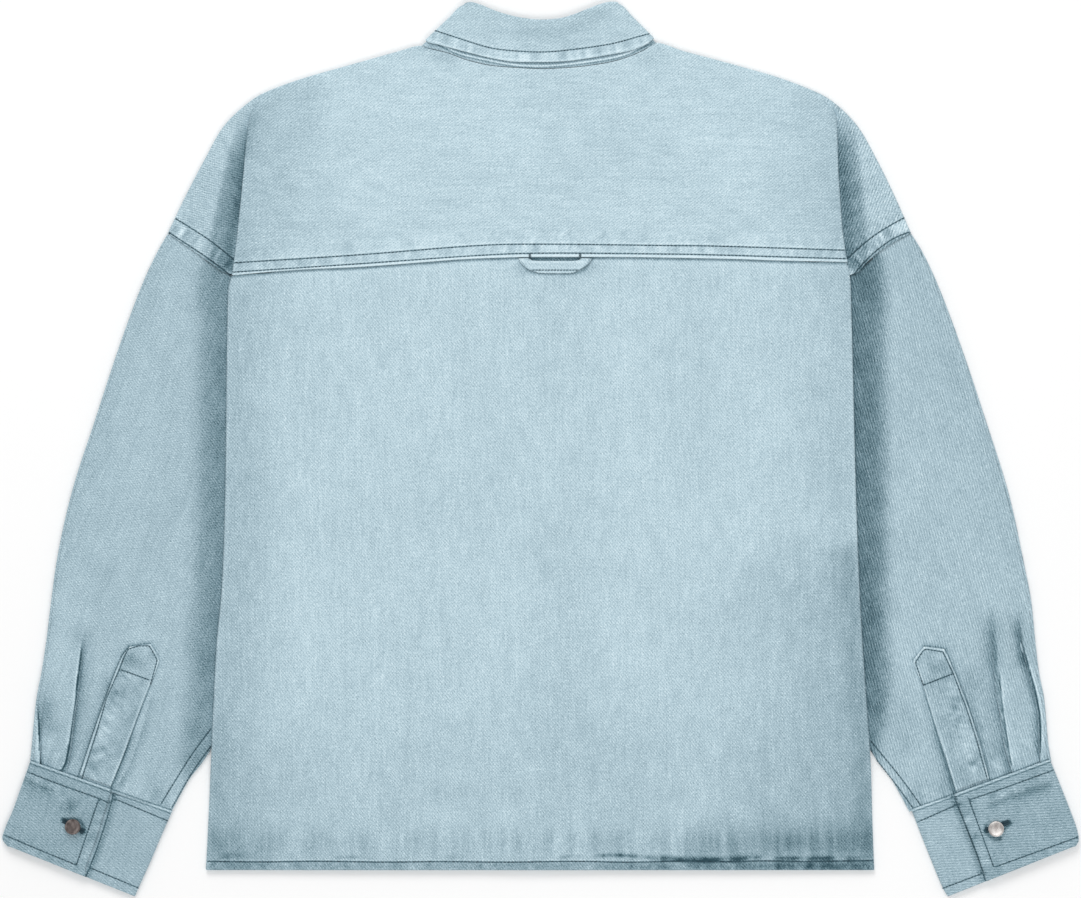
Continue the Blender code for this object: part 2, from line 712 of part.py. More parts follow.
def ring(side, share, flap=0.0):
    """One ring of a sleeve: the upper layer with its pleats, the inner fold, the lower layer, the outer fold."""
    outer, inner = sleeve_ends(side, share)
    length = math.dist(outer, inner)
    way = (inner - outer) / length
    lift = np.array([-way[1], way[0]]) * -flap
    edge = read(SLEEVE_RISE, "edge", share)
    fold = read(SLEEVE_RISE, "inner", share)
    first, last = FLOOR + edge, length - FLOOR - fold
    marks = [(first, 0.0)]
    ends = []
    for pleat in PLEATS[side]:
        angle = read(pleat, "angle", outer[1])
        at = read(pleat, "at", outer[1]) - tuck_lead(angle)
        points = tuck(angle, read(pleat, "straight", outer[1]))
        ends.append((at + points[-1][0], points[-1][1]))
        if len(ends) == 2:
            begin, fallen = ends[0]
            for t in (0.35, 0.7):
                marks.append((blend(begin, at, t), fallen * (1 - ease(t / 0.8))))
        marks += [(at + run, drop) for run, drop in points]
    begin, fallen = ends[1]
    for t in (0.12, 0.28, 0.46, 0.66, 0.84, 1):
        distance = blend(begin, last, t)
        marks.append((distance, fallen * (1 - ease((distance - begin) / 30))))
    points = []
    for distance, fallen in marks:
        x, y = outer + way * distance + lift
        height = sleeve_height(side, share, x, y)
        height = blend(FLOOR + 2 * edge, height, ease((distance - first) / 14) if share < 0.9 else 1)
        height = blend(FLOOR + 2 * fold, height, ease((last - distance) / 30))
        points.append((x, y, height - fallen))
    for turn in (60, 120, 180):
        a = math.radians(turn)
        x, y = inner - way * (FLOOR + fold - fold * math.sin(a)) + lift
        points.append((x, y, FLOOR + fold + fold * math.cos(a)))
    for t in (0.25, 0.5, 0.75):
        x, y = outer + way * blend(last, first, t) + lift
        points.append((x, y, FLOOR))
    for turn in (180, 135, 90, 45):
        a = math.radians(turn)
        x, y = outer + way * (FLOOR + edge - edge * math.sin(a)) + lift
        points.append((x, y, FLOOR + edge + edge * math.cos(a)))
    points.append(points[0])
    return [(SIGN[side] * x, y, z) for x, y, z in points]


def sleeve(side, collection):
    stations = (0, 0.03, 0.09, 0.2, 0.35, 0.5, 0.62, 0.7, 0.77, 0.83, 0.88, 0.92, 0.96, 1)
    grid = [ring(side, 0, SLEEVE_FLAP)] + [ring(side, share) for share in stations]
    edge = ARMHOLE[side][0][0]

    def left_out(row, column):
        if row > 0:
            return False
        outs = [abs(grid[0][k][0]) for k in (column, column + 1)]
        upper = column < 22
        return not (upper and min(outs) > 283 and max(outs) < edge - 8)

    wall(f"sleeve_{side}", grid, collection, SLEEVE_DENIM, left_out=left_out, joined=True)


def cuff(side, collection):
    """A cuff: a band that starts under its own lap, runs round and ends on top of it."""
    under, middle, over = CUFF_LEVELS["under"], CUFF_LEVELS["middle"], CUFF_LEVELS["over"]
    half = CUFF_WALL / 2
    grid = []
    for share in (0, 0.1, 0.35, 0.6, 0.82, 0.94, 1):
        outer = np.array([read(CUFF[side], "outer_out", share), read(CUFF[side], "outer_up", share)])
        inner = np.array([read(CUFF[side], "inner_out", share), read(CUFF[side], "inner_up", share)])
        length = math.dist(outer, inner)
        way = (inner - outer) / length
        lap = read(CUFF[side], "lap", share) * length
        small, large = (middle - under) / 2, (over - under) / 2
        near, far = half + large, length - half - small
        line = [(blend(lap - CUFF_UNDERLAP * length, far, t), middle) for t in (0, 0.25, 0.5, 0.75, 1)]
        for turn in (45, 90, 135, 168, 180):
            a = math.radians(turn)
            line.append((far + small * math.sin(a), under + small + small * math.cos(a)))
        line += [(blend(far, near, t), under) for t in (0.25, 0.5, 0.75)]
        for turn in (180, 166, 130, 90, 50, 20, 0):
            a = math.radians(turn)
            line.append((near - large * math.sin(a), under + large + large * math.cos(a)))
        line += [(blend(near, lap, t), over) for t in (0.25, 0.5, 0.75, 1)]
        grid.append([(SIGN[side] * (outer + way * d)[0], (outer + way * d)[1], z) for d, z in line])
    wall(f"cuff_{side}", grid, collection, CUFF_DENIM, thickness=CUFF_WALL)


def placket(side, collection):
    """A pointed strip that lies on the sleeve's upper layer."""
    rows = PLACKET[side]
    grid = []
    for share in (0, 0.1, 0.2, 0.35, 0.5, 0.65, 0.78, 0.88, 0.95, 1):
        line = []
        for t in (0, 0.33, 0.67, 1):
            out = blend(read(rows, "open_out", share), read(rows, "closed_out", share), t)
            up = blend(read(rows, "open_up", share), read(rows, "closed_up", share), t)
            line.append((SIGN[side] * out, up, placket_height(side, out, up)))
        grid.append(line)
    wall(f"placket_{side}", grid, collection, SLEEVE_DENIM)


def placket_height(side, out, up):
    """One layer above the sleeve, as the sleeve recovers from its inner pleat."""
    share = blend(0.75, 1, min(max((-up - 165) / 140, 0), 1))
    return sleeve_height(side, share, out, up) + LAYER


# The collar


BACK_STATIONS = 7


def collar_stations(side):
    """Stations from the centre back round the side of the neck to the centre front.

    Each has the seam, roll and leaf in plan, the way the roll line lies from the seam, and
    the way that faces out of the ring."""
    steps = (1, 0.8, 0.6, 0.4, 0.22, 0.09, 0)
    back = zip(along(BACK_NECK[side], steps), along(BACK_ROLL[side], steps), along(BACK_LEAF[side], steps))
    found = [(seam, roll, leaf, (0, 0, 1)) for seam, roll, leaf in back]
    seam, roll, leaf, _ = found[-1]
    side_way = (roll - seam) / math.dist(roll, seam)
    face = np.array([side_way[1], -side_way[0]])
    for i, (a, b, c, _) in enumerate(found):
        pull = face * COLLAR_MIDDLE * ease((i - 2) / 4)
        found[i] = (a - pull, b - pull, c - pull, (0, 0, 1))
    for turn in (45, 90, 135, 180):
        a = math.radians(turn)
        out_way = (face[0] * math.sin(a), face[1] * math.sin(a), math.cos(a))
        found.append((*(point - face * COLLAR_MIDDLE for point in (seam, roll, leaf)), out_way))
    steps = (0.14, 0.3, 0.46, 0.62, 0.78, 0.885, 1)
    front_line = zip(along(FRONT_NECK, steps), along(FRONT_ROLL, steps), along(FRONT_LEAF, steps))
    found += [(a, b, c, (0, 0, -1)) for a, b, c in front_line]
    return found


COLLAR_MIDDLE = 3.18
STAND_OFF = 1.05
FALL_OFF = STAND_OFF + LAYER


def roll_way(stations, i):
    """The way that the roll faces at a station: across its own line, and up the stand at the side."""
    seam, roll, _, _ = stations[i]
    way = (roll - seam) / math.dist(roll, seam)
    if i >= BACK_STATIONS:
        return way
    if i == 0:
        return np.array((0.0, 1.0))
    ahead = stations[min(i + 1, BACK_STATIONS - 1)][1] - stations[i - 1][1]
    across = np.array((-ahead[1], ahead[0])) / math.hypot(*ahead)
    if i == BACK_STATIONS - 1:
        across = (across + way) / math.hypot(*(across + way))
    return across


def collar_line(station, offset, plan, reach, lift=0.0):
    x, y = plan
    out_way = station[3]
    return (x + out_way[0] * offset + reach[0], y + out_way[1] * offset + reach[1],
            COLLAR_MIDDLE + out_way[2] * offset + lift)


def collar(collection):
    """The stand from the neck seam to the roll, and the fall from inside the roll to its leaf edge."""
    sides = {side: collar_stations(side) for side in (LEFT, RIGHT)}
    stand, fall = [], []
    for side in (LEFT, RIGHT):
        stand_lines, fall_lines = [], []
        count = len(sides[side])
        for i, station in enumerate(sides[side]):
            seam, roll, leaf, _ = station
            way = (roll - seam) / math.dist(roll, seam)
            over = roll_way(sides[side], i)
            crest = roll - over * (FLOOR + TUCK_RADIUS)
            late = ease((i - (count - 5)) / 4)
            lift = late * (0.5 if side == LEFT else 2.0)
            lower = seam + way * SEAM_GAP / 2
            line = [collar_line(station, STAND_OFF, blend(lower, crest, t), (0, 0), lift)
                    for t in (0, 0.43, 0.86)]
            stand_lines.append([(SIGN[side] * x, y, z) for x, y, z in line])
            line = [collar_line(station, FALL_OFF, blend(leaf, crest, t), (0, 0)) for t in (0, 0.3, 0.65, 1)]
            for turn in (60, 120, 180):
                a = math.radians(turn)
                offset = STAND_OFF + TUCK_RADIUS * (1 + math.cos(a))
                line.append(collar_line(station, offset, crest, over * TUCK_RADIUS * math.sin(a)))
            inside = crest - (crest - lower) * 0.14 + way * (SEAM_GAP + 0.1)
            line.append(collar_line(station, STAND_OFF, inside, (0, 0)))
            fall_lines.append([(SIGN[side] * x, y, z) for x, y, z in line])
        x, y, z = zip(*stand_lines[-1])
        stand_lines.append([(-SIGN[side] * 14, y[k], z[k]) for k in range(len(x))])
        if side == LEFT:
            stand += stand_lines[::-1][:-1]
            fall += fall_lines[::-1][:-1]
        else:
            stand += stand_lines
            fall += fall_lines
    wall("collar_stand", stand, collection, COLLAR_DENIM)
    wall("collar_fall", fall, collection, COLLAR_DENIM)


# The small pieces


def locker_loop(collection):
    """A flat strip on the back panel, with both ends at the yoke's edge."""
    grid = []
    for i in range(len(LOOP["lower_up"])):
        lower = np.array([LOOP["lower_across"][i], LOOP["lower_up"][i]])
        upper = np.array([LOOP["upper_across"][i], LOOP["upper_up"][i] - SEAM_GAP])
        line = []
        for t in (0, 0.5, 1):
            x, y = blend(lower, upper, t)
            line.append((x, y, yoke_edge_height(x) + 0.15))
        grid.append(line)
    wall("locker_loop", grid, collection, BODY_DENIM)


def turned(name, profile, place, tilt, collection, steps=16):
    """A turned piece, from (radius, height) pairs down its outer side."""
    mesh = bpy.data.meshes.new(name)
    mesh.from_pydata([(radius * MM, 0, height * MM) for radius, height in profile],
                     [(i, i + 1) for i in range(len(profile) - 1)], [])
    thing = add_object(name, mesh, collection, BUTTON_METAL)
    thing.location = Vector(place) * MM
    thing.rotation_euler = tilt
    screw = thing.modifiers.new("Turn", "SCREW")
    screw.steps = steps
    screw.render_steps = steps
    screw.use_merge_vertices = True
    screw.merge_threshold = 0.00001
    screw.use_smooth_shade = True


def buttons(collection):
    half = BUTTON_ACROSS / 2
    over = CUFF_LEVELS["over"] + CUFF_WALL / 2 + SEAM_GAP
    head = ((0, 3.3), (half - 2.2, 3.4), (half - 1.2, 3.7), (half - 0.3, 3.4), (half, 2.6), (half - 0.5, 1.8),
            (half - 2, 1.5), (2.2, 1.5), (2.2, 0.2), (0, 0.2))
    for side, tilt in ((LEFT, (0.05, -0.08, 0)), (RIGHT, (0, 0.02, 0))):
        out, up = CUFF_BUTTON[side]
        turned(f"cuff_button_{side}", head, (SIGN[side] * out, up, over), tilt, collection)
    flat = ((0, 1.65), (2.2, 1.65), (2.2, 1.3), (half - 0.4, 1.3), (half, 0.9), (half - 0.2, 0.3), (half - 1, 0), (0, 0))
    for i, up in enumerate(FRONT_BUTTONS_UP):
        turned(f"front_button_{i + 1}", flat, (0, up, 0), (0, 0, 0), collection, steps=12)


def clear_scene():
    for thing in list(bpy.data.objects):
        bpy.data.objects.remove(thing, do_unlink=True)


def main():
    clear_scene()
    collection = bpy.data.collections.new("denim shirt")
    bpy.context.scene.collection.children.link(collection)
    back_yoke(collection)
    back_panel(collection)
    for side in (LEFT, RIGHT):
        front(side, collection)
        sleeve(side, collection)
        cuff(side, collection)
        placket(side, collection)
    collar(collection)
    locker_loop(collection)
    buttons(collection)


main()
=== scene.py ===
import bisect
import math

import bpy
import numpy as np
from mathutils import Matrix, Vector
from mathutils.bvhtree import BVHTree


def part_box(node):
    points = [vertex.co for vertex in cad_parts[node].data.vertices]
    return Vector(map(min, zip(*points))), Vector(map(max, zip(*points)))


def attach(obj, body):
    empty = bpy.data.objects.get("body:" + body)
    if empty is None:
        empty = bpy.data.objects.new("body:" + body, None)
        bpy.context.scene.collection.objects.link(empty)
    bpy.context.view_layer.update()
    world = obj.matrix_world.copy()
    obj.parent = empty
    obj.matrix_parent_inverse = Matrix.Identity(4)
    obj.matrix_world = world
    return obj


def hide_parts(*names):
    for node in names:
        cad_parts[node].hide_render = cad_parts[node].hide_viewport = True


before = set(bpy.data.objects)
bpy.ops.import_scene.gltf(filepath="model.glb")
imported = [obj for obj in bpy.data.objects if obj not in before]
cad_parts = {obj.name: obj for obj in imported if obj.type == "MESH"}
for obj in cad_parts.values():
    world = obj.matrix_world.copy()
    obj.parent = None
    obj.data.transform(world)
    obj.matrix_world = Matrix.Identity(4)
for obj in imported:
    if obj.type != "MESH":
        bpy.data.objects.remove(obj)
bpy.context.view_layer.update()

mm = 0.001

# Driving dimensions, in millimetres.
clothWall = 1.2
seamGap = 0.3
layer = clothWall + seamGap
cuffWall = 2.0
shellWall = 1.1
cuffShellWall = 1.8
restHeight = clothWall / 2
hemUp = -378.8
frontLap = 16.0
sideRoll = 1.5
sideTurn = 30.0
shoulderTurn = 9.0
yokeLap = 8.0
tuckRadius = layer / 2
bendLength = tuckRadius * math.pi
sleeveFlap = 10.0
hiddenSleeve = restHeight + 1.8
armholeFall = 19.4
collarMiddle = 3.18
standOff = 1.05
fallOff = standOff + layer
backStations = 7
sideSign = {"left": -1.0, "right": 1.0}
sides = tuple(sideSign)


# rows of numbers under named columns
def table(columns, *rows):
    return {name: [row[i] for row in rows] for i, name in enumerate(columns.split())}


# The shoulder line, from the neck to the point where the sleeve side begins.
shoulderLine = table(
    "out left right",
    (106, 364.5, 366.5),
    (118, 360.5, 361),
    (162, 348, 349),
    (210, 334.5, 335.5),
    (244, 322.5, 323),
    (258, 315, 316),
    (268, 308, 310.5),
    (277, 300, 301.5),
)
# The outer edge below it, down the sleeve to the cuff.
sleeveSide = table(
    "up left right",
    (300, 277, 278.5),
    (290, 285, 285.5),
    (270, 296.5, 297.5),
    (244, 311, 311),
    (208, 328.5, 327.5),
    (195, 334.5, 333),
    (170, 348.5, 348),
    (128, 366, 365),
    (80, 383, 383),
    (28, 400, 400),
    (-27, 417.5, 418),
    (-64, 428.5, 427),
    (-100, 435, 434.5),
    (-136, 440, 441.5),
    (-184, 446, 446.5),
    (-210, 450.5, 450),
    (-229, 454, 454),
    (-256, 456.5, 456),
    (-281, 459, 459.5),
)
# The edge of the body, from the top of the shoulder tuck to the hem.
bodySide = table(
    "up left right",
    (316, 256, 260),
    (304, 259.5, 266),
    (290, 263, 267),
    (254, 266.5, 268),
    (222, 269.7, 270),
    (190, 273, 272.5),
    (170, 275.5, 276),
    (156, 277.3, 278.3),
    (149, 280, 279),
    (134, 281, 279.5),
    (35, 282.5, 282),
    (-28, 283, 283.5),
    (-100, 285.5, 286),
    (-136, 287, 287.5),
    (-187, 292, 290.5),
    (-245, 294.5, 294.5),
    (-290, 296.7, 297.5),
    (-341, 299, 299),
    (-379, 301, 300.5),
)
# Height of the side turn, which passes over the sleeve and comes down below it.
sideHeight = table(
    "up low",
    (200, 3.9),
    (-272, 3.9),
    (-288, 2.9),
    (-308, 1.1),
    (-330, 0.6),
    (-380, 0.6),
)
# The tuck at the shoulder: how far it turns, how deep it is laid and how high it lies.
shoulderTuck = table(
    "up angle straight top",
    (150, 180, 16, 6.9),
    (200, 180, 12, 6.9),
    (250, 180, 6, 6.9),
    (284, 176, 1.5, 6.9),
    (296, 100, 1.0, 6.4),
    (306, 30, 2.0, 5.4),
    (316, 5, 5.0, 4.4),
)
# The roll over the shoulder line, by the distance from the neck.
shoulderRoll = table(
    "from_neck low high",
    (0, 2.1, 4.2),
    (45, 2.1, 4.5),
    (75, 0.6, 4.0),
    (700, 0.6, 4.0),
)
yokeEdge = table(
    "across up",
    (-277.5, 156),
    (-216.5, 161),
    (-162.5, 163.5),
    (-108.5, 167.5),
    (-59, 171),
    (0, 172.5),
    (53.5, 172.5),
    (161.5, 171),
    (224.5, 169),
    (276, 168),
)
# Height of the yoke's middle, and the shares of its depth at which its rows lie.
yokeMiddle = table("up height", (150, 5.8), (260, 5.8), (310, 5.2), (345, 4.3))
yokeRows = (0, 0.07, 0.2, 0.38, 0.56, 0.74, 0.9, 1)
# Shares of the back's length, from the hem up, and of its width, from the left.
panelLevels = (0, 0.05, 0.0955, 0.1386, 0.174, 0.209, 0.3, 0.375, 0.475, 0.6, 0.72, 0.81, 0.88, 0.94, 0.98, 1)
panelShares = (-1, -0.95, -0.88, -0.76, -0.6, -0.4, -0.2, 0, 0.2, 0.4, 0.6, 0.76, 0.88, 0.95, 1)
# Lower edge of the dropped shoulder, from the outline to the body.
armholeEdge = {
    "left": ((335.4, 193.8), (307, 174.5), (279.4, 154.6)),
    "right": ((333.6, 193.9), (304, 177), (279.5, 153)),
}
underarm = ((136, 64.5), (189.5, -37), (241.5, -145), (274, -221.5), (296.5, -271), (315.5, -297),
            (331.6, -326.4))
backNeck = {
    "left": ((107.5, 364), (85, 357.5), (61, 348.5), (37, 344), (0, 342)),
    "right": ((105, 366.5), (88, 357), (64, 348.5), (32, 343.5), (0, 342)),
}
frontNeck = ((106, 364), (99, 332), (82, 300), (50, 270), (24, 258.5), (0, 256))
neckReturn = (-0.5, -8.8)
backRoll = {
    "left": ((69.8, 399.7), (67.8, 402.8), (64.2, 404), (57.5, 402), (45, 396.3), (22.5, 389), (0, 386.3)),
    "right": ((71.3, 400.7), (69.4, 403.4), (65.5, 404.3), (58.5, 402.6), (42, 396), (20.5, 388), (0, 386.3)),
}
frontRoll = ((71, 399), (68, 362), (55, 328), (32, 302), (8, 292))
backLeaf = {
    "left": ((103.5, 368), (97.5, 366.5), (69, 358), (45, 351.5), (22.5, 348), (0, 347.8)),
    "right": ((102.5, 369.5), (88, 361), (64, 355), (32, 349.5), (16, 348.2), (0, 347.8)),
}
frontLeaf = ((103.5, 368), (112, 342), (108, 306), (90, 266), (62, 236))
# How the sleeve stands up between the armhole and the cuff, by the share of its length.
sleeveRise = table(
    "share middle edge inner",
    (0, 2.4, 0.9, 0.9),
    (0.02, 2.9, 1.1, 0.9),
    (0.05, 4.0, 1.5, 0.9),
    (0.1, 4.8, 1.7, 0.9),
    (0.25, 5.2, 1.8, 0.9),
    (0.75, 5.2, 2.0, 0.9),
    (0.9, 5.1, 2.2, 1.2),
    (1, 5.1, 2.25, 1.6),
)
# The two pleats at each cuff: how far in from the edge, how far turned and how deep.
pleats = {
    "left": (
        table(
            "up at angle straight",
            (-100, 7, 1, 2),
            (-190, 7, 3, 2),
            (-210, 6.5, 20, 2),
            (-228, 6.5, 70, 1.3),
            (-243, 7, 130, 0.5),
            (-255, 7.5, 178, 0.5),
            (-281, 9, 180, 3.5),
        ),
        table(
            "up at angle straight",
            (-100, 36, 1, 2),
            (-145, 36, 12, 3),
            (-165, 35, 60, 1.5),
            (-185, 35.5, 120, 0.6),
            (-200, 36.5, 175, 0.3),
            (-225, 37, 180, 3.5),
            (-255, 36.5, 180, 7),
            (-281, 34.5, 180, 8.5),
        ),
    ),
    "right": (
        table(
            "up at angle straight",
            (-90, 12, 1, 2),
            (-120, 12.5, 4, 3),
            (-145, 12.5, 30, 2.2),
            (-170, 12, 90, 1),
            (-190, 11, 150, 0.5),
            (-203, 10, 178, 0.4),
            (-240, 7.5, 180, 3),
            (-281, 10, 180, 4.5),
        ),
        table(
            "up at angle straight",
            (-90, 37, 1, 2),
            (-120, 38, 4, 3),
            (-150, 39.5, 25, 2.5),
            (-175, 41, 80, 1.2),
            (-195, 42, 140, 0.5),
            (-210, 42.5, 178, 0.4),
            (-240, 42, 180, 4.5),
            (-281, 36, 180, 8),
        ),
    ),
}
# Each cuff's two ends from its upper edge to its lower one, and where it laps.
cuffEnds = {
    "left": table(
        "share outer_out outer_up inner_out inner_up lap",
        (0, 459.2, -281.8, 331.6, -327.2, 0.573),
        (0.35, 468, -306.5, 342.5, -352, 0.59),
        (0.7, 477.5, -333, 353.5, -378, 0.605),
        (0.94, 484, -350, 362.5, -397.5, 0.615),
        (1, 479.5, -356.5, 364.5, -402.5, 0.62),
    ),
    "right": table(
        "share outer_out outer_up inner_out inner_up lap",
        (0, 459.4, -281.6, 334.6, -327, 0.69),
        (0.35, 468.5, -304, 343.5, -350, 0.695),
        (0.7, 480, -334.5, 354, -376, 0.7),
        (0.94, 484.5, -351, 363, -397, 0.7),
        (1, 482, -356.5, 366.5, -402.5, 0.7),
    ),
}
cuffUnderlap = 0.16
# How far the cuff's folded edge laps up over the joint of the solids.
edgeRise = {"left": 1.7, "right": 2.9}
cuffLevels = {"under": 1.01, "middle": 3.81, "over": 6.11}
# Each placket's two long edges, from the cuff to its pointed top.
placketEdges = {
    "left": table(
        "share open_out open_up closed_out closed_up",
        (0, 387, -304.9, 414.5, -294.9),
        (0.2, 376, -278, 406.5, -270),
        (0.45, 363.5, -244, 396, -239),
        (0.7, 350, -209, 383.5, -205),
        (0.88, 342.8, -190, 375.5, -186),
        (1, 350.5, -175.5, 369, -178),
    ),
    "right": table(
        "share closed_out closed_up open_out open_up",
        (0, 404, -298.9, 374.5, -309.8),
        (0.2, 395.5, -266, 364, -276),
        (0.45, 384, -230.5, 352.5, -239.5),
        (0.7, 372.5, -201, 341.5, -206),
        (0.88, 366, -186, 335, -191.5),
        (1, 363, -180, 345, -177.8),
    ),
}
# The locker loop's lower and upper outline, from end to end.
loopOutline = table(
    "lower_across lower_up upper_across upper_up",
    (-19.8, 171.2, -9.2, 171.8),
    (-16, 165.5, -8.6, 170.6),
    (-11, 161.6, -7, 169.6),
    (1, 158, 1, 169.2),
    (14, 157.8, 14, 169.2),
    (27, 158, 27, 169.2),
    (38, 162.8, 33, 169.6),
    (43.5, 166.5, 35.2, 170.6),
    (46.6, 171.2, 36, 171.8),
)


# 0 to 1 with level ends
def ease(t):
    t = min(max(t, 0.0), 1.0)
    return t * t * (3 - 2 * t)


def blend(a, b, t):
    return a + (b - a) * t


# a column's value at a place along the first column, on a smooth curve with no overshoot
def read(rows, column, at):
    xs, ys = rows[next(iter(rows))], rows[column]
    if xs[0] > xs[-1]:
        xs, ys = xs[::-1], ys[::-1]
    at = min(max(at, xs[0]), xs[-1])
    i = min(bisect.bisect_right(xs, at) - 1, len(xs) - 2)
    rise = [(ys[k + 1] - ys[k]) / (xs[k + 1] - xs[k]) for k in range(len(xs) - 1)]

    def slope(k):
        if k in (0, len(xs) - 1):
            return rise[min(k, len(rise) - 1)]
        before, after = rise[k - 1], rise[k]
        return 0.0 if before * after <= 0 else 2 * before * after / (before + after)

    step = xs[i + 1] - xs[i]
    t = (at - xs[i]) / step
    start, end = ys[i], ys[i + 1]
    return (
        start * (1 + 2 * t) * (1 - t) ** 2
        + end * t * t * (3 - 2 * t)
        + step * (slope(i) * t * (1 - t) ** 2 - slope(i + 1) * t * t * (1 - t))
    )


# points at given shares of the length of a smooth curve through some points
def along(points, shares):
    knots = np.array([np.subtract(np.multiply(2, points[0]), points[1]), *points,
                      np.subtract(np.multiply(2, points[-1]), points[-2])], float)
    fine = []
    for a, b, c, d in zip(knots, knots[1:], knots[2:], knots[3:]):
        for t in np.linspace(0, 1, 12, endpoint=False):
            bend, twist = 2 * a - 5 * b + 4 * c - d, 3 * b - a - 3 * c + d
            fine.append(0.5 * (2 * b + (c - a) * t + bend * t**2 + twist * t**3))
    fine = np.array([*fine, knots[-2]])
    length = np.concatenate([[0], np.cumsum(np.linalg.norm(np.diff(fine, axis=0), axis=1))])
    return np.stack([np.interp(np.multiply(shares, length[-1]), length, axis) for axis in fine.T], axis=1)


def shares(count):
    return np.linspace(0, 1, count)


# the sine and cosine of each angle round a fold, in degrees
def arc(*turns):
    return [(math.sin(math.radians(turn)), math.cos(math.radians(turn))) for turn in turns]


def onSide(side, points):
    return [(sideSign[side] * x, y, z) for x, y, z in points]


def sideOf(across):
    return "right" if across > 0 else "left"


def bodyEdge(side, up):
    return read(bodySide, side, up)


# mid-line of a Z tuck as (run, drop) from its start: out to the fold, back under, out again
def tuck(angle, straight, bends=2):
    turn = math.radians(angle)
    tuckRadius = bendLength / turn
    first = [turn * k / bends for k in range(bends + 1)]
    points = [(tuckRadius * math.sin(a), tuckRadius * (1 - math.cos(a))) for a in first]
    run = points[-1][0] + straight * math.cos(turn)
    drop = points[-1][1] + straight * math.sin(turn)
    for a in reversed(first):
        points.append((run + tuckRadius * (math.sin(turn) - math.sin(a)),
                       drop + tuckRadius * (math.cos(a) - math.cos(turn))))
    return points


# how far a tuck's fold reaches past its start
def tuckLead(angle):
    return bendLength / math.radians(angle) * math.sin(math.radians(min(angle, 90)))


# Heights


# distance inside the hidden edge of the sleeve: over 0 where the body lies on the sleeve
def underEdge(out, up):
    if up > underarm[0][1]:
        run = (armholeEdge["left"][0][0] - underarm[0][0]) / (armholeEdge["left"][0][1] - underarm[0][1])
        return (out - underarm[0][0] - (up - underarm[0][1]) * run) / math.hypot(1, run)
    ups = [point[1] for point in underarm][::-1]
    outs = [point[0] for point in underarm][::-1]
    return out - float(np.interp(up, ups, outs))


# height of a front: level on the floor, raised over the sleeve, at the band and by the collar
def frontHeight(across, up, outer):
    out = abs(across)
    over = ease((underEdge(out, up) + 64) / 30)
    over *= 1 - ease((out - blend(249.6, 234, ease((up - 143) / 12))) / 12) * ease((up - 110) / 27)
    low = read(sideHeight, "low", up) - restHeight
    neck = layer * (1 - ease((math.hypot(out, up - 350) - 152) / 28))
    beyond = -across if outer else across
    if outer:
        band = (layer + 0.5) * (1 - ease((beyond - 18) / 16))
    else:
        band = (2 * layer + 0.5) * (1 - ease((beyond - 20) / 24))
    return restHeight + max(low * over, neck, band)


def centreHeight(up):
    return blend(4.6, 5.8, ease((up + 378) / 90))


def bandRise(across, up):
    return blend(1.2, 0.6, ease((up + 378) / 90)) * math.exp(-((across / 36) ** 2))


# height of the back panel where it lies level, before its lap under the yoke
def backHeight(across, up):
    side, out = sideOf(across), abs(across)
    top = read(sideHeight, "low", up) + 2 * sideRoll
    edge = bodyEdge(side, up)
    level = blend(centreHeight(up), top, ease((out - 150) / (edge - 156)))
    return level + bandRise(across, up)


def yokeEdgeHeight(across):
    return 6.9 + 0.5 * math.exp(-((across / 45) ** 2))


# height of the yoke between its lower edge, its tucks and the neck
def yokeHeight(across, up):
    side, out = sideOf(across), abs(across)
    middle = read(yokeMiddle, "height", up) + bandRise(across, up) * ease((300 - up) / 40)
    top = read(shoulderTuck, "top", up)
    level = blend(middle, top, ease((out - 150) / (bodyEdge(side, up) - 156)))
    lip = math.exp(-max(up - read(yokeEdge, "up", across), 0) / 16)
    return blend(level, yokeEdgeHeight(across), lip)


# height of a sleeve's upper layer, which dips where the body lies on it
def sleeveHeight(side, share, out, up):
    clear = ease((out - bodyEdge(side, up) - 2) / 42)
    held = ease((up + 285) / 50)
    return blend(hiddenSleeve, read(sleeveRise, "middle", share), 1 - (1 - clear) * held)


# The back


# the shoulder line and the dropped shoulder's edge, from the neck to the armhole seam
def outline(side):
    edge = list(zip(shoulderLine["out"], shoulderLine[side]))
    end = armholeEdge[side][0]
    drop = [(read(sleeveSide, side, up), up) for up in (290, 270, 244, 220, 205)]
    return edge + drop + [end]


# the tuck's points at one share of the way from the yoke's lower edge to the shoulder line
def tuckPoints(side, share):
    upper = blend(read(yokeEdge, "up", sideSign[side] * 277), 314, share)
    lower = blend(armholeEdge[side][-1][1], 312, share)
    points = []
    for k in range(8):
        up = blend(upper, lower, ease((k - 2) / 5))
        angle = read(shoulderTuck, "angle", up)
        run, drop = tuck(angle, read(shoulderTuck, "straight", up), bends=3)[k]
        start = bodyEdge(side, up) - restHeight - tuckLead(angle)
        points.append((start + run, up, read(shoulderTuck, "top", up) - drop))
    return points


# where the shoulder meets the collar: the seam there, the way up the stand and the way out
def neckSide(side):
    seam, roll, _, face = collarStations(side)[backStations + 1]
    return seam, (roll - seam) / math.dist(roll, seam), np.array(face[:2])


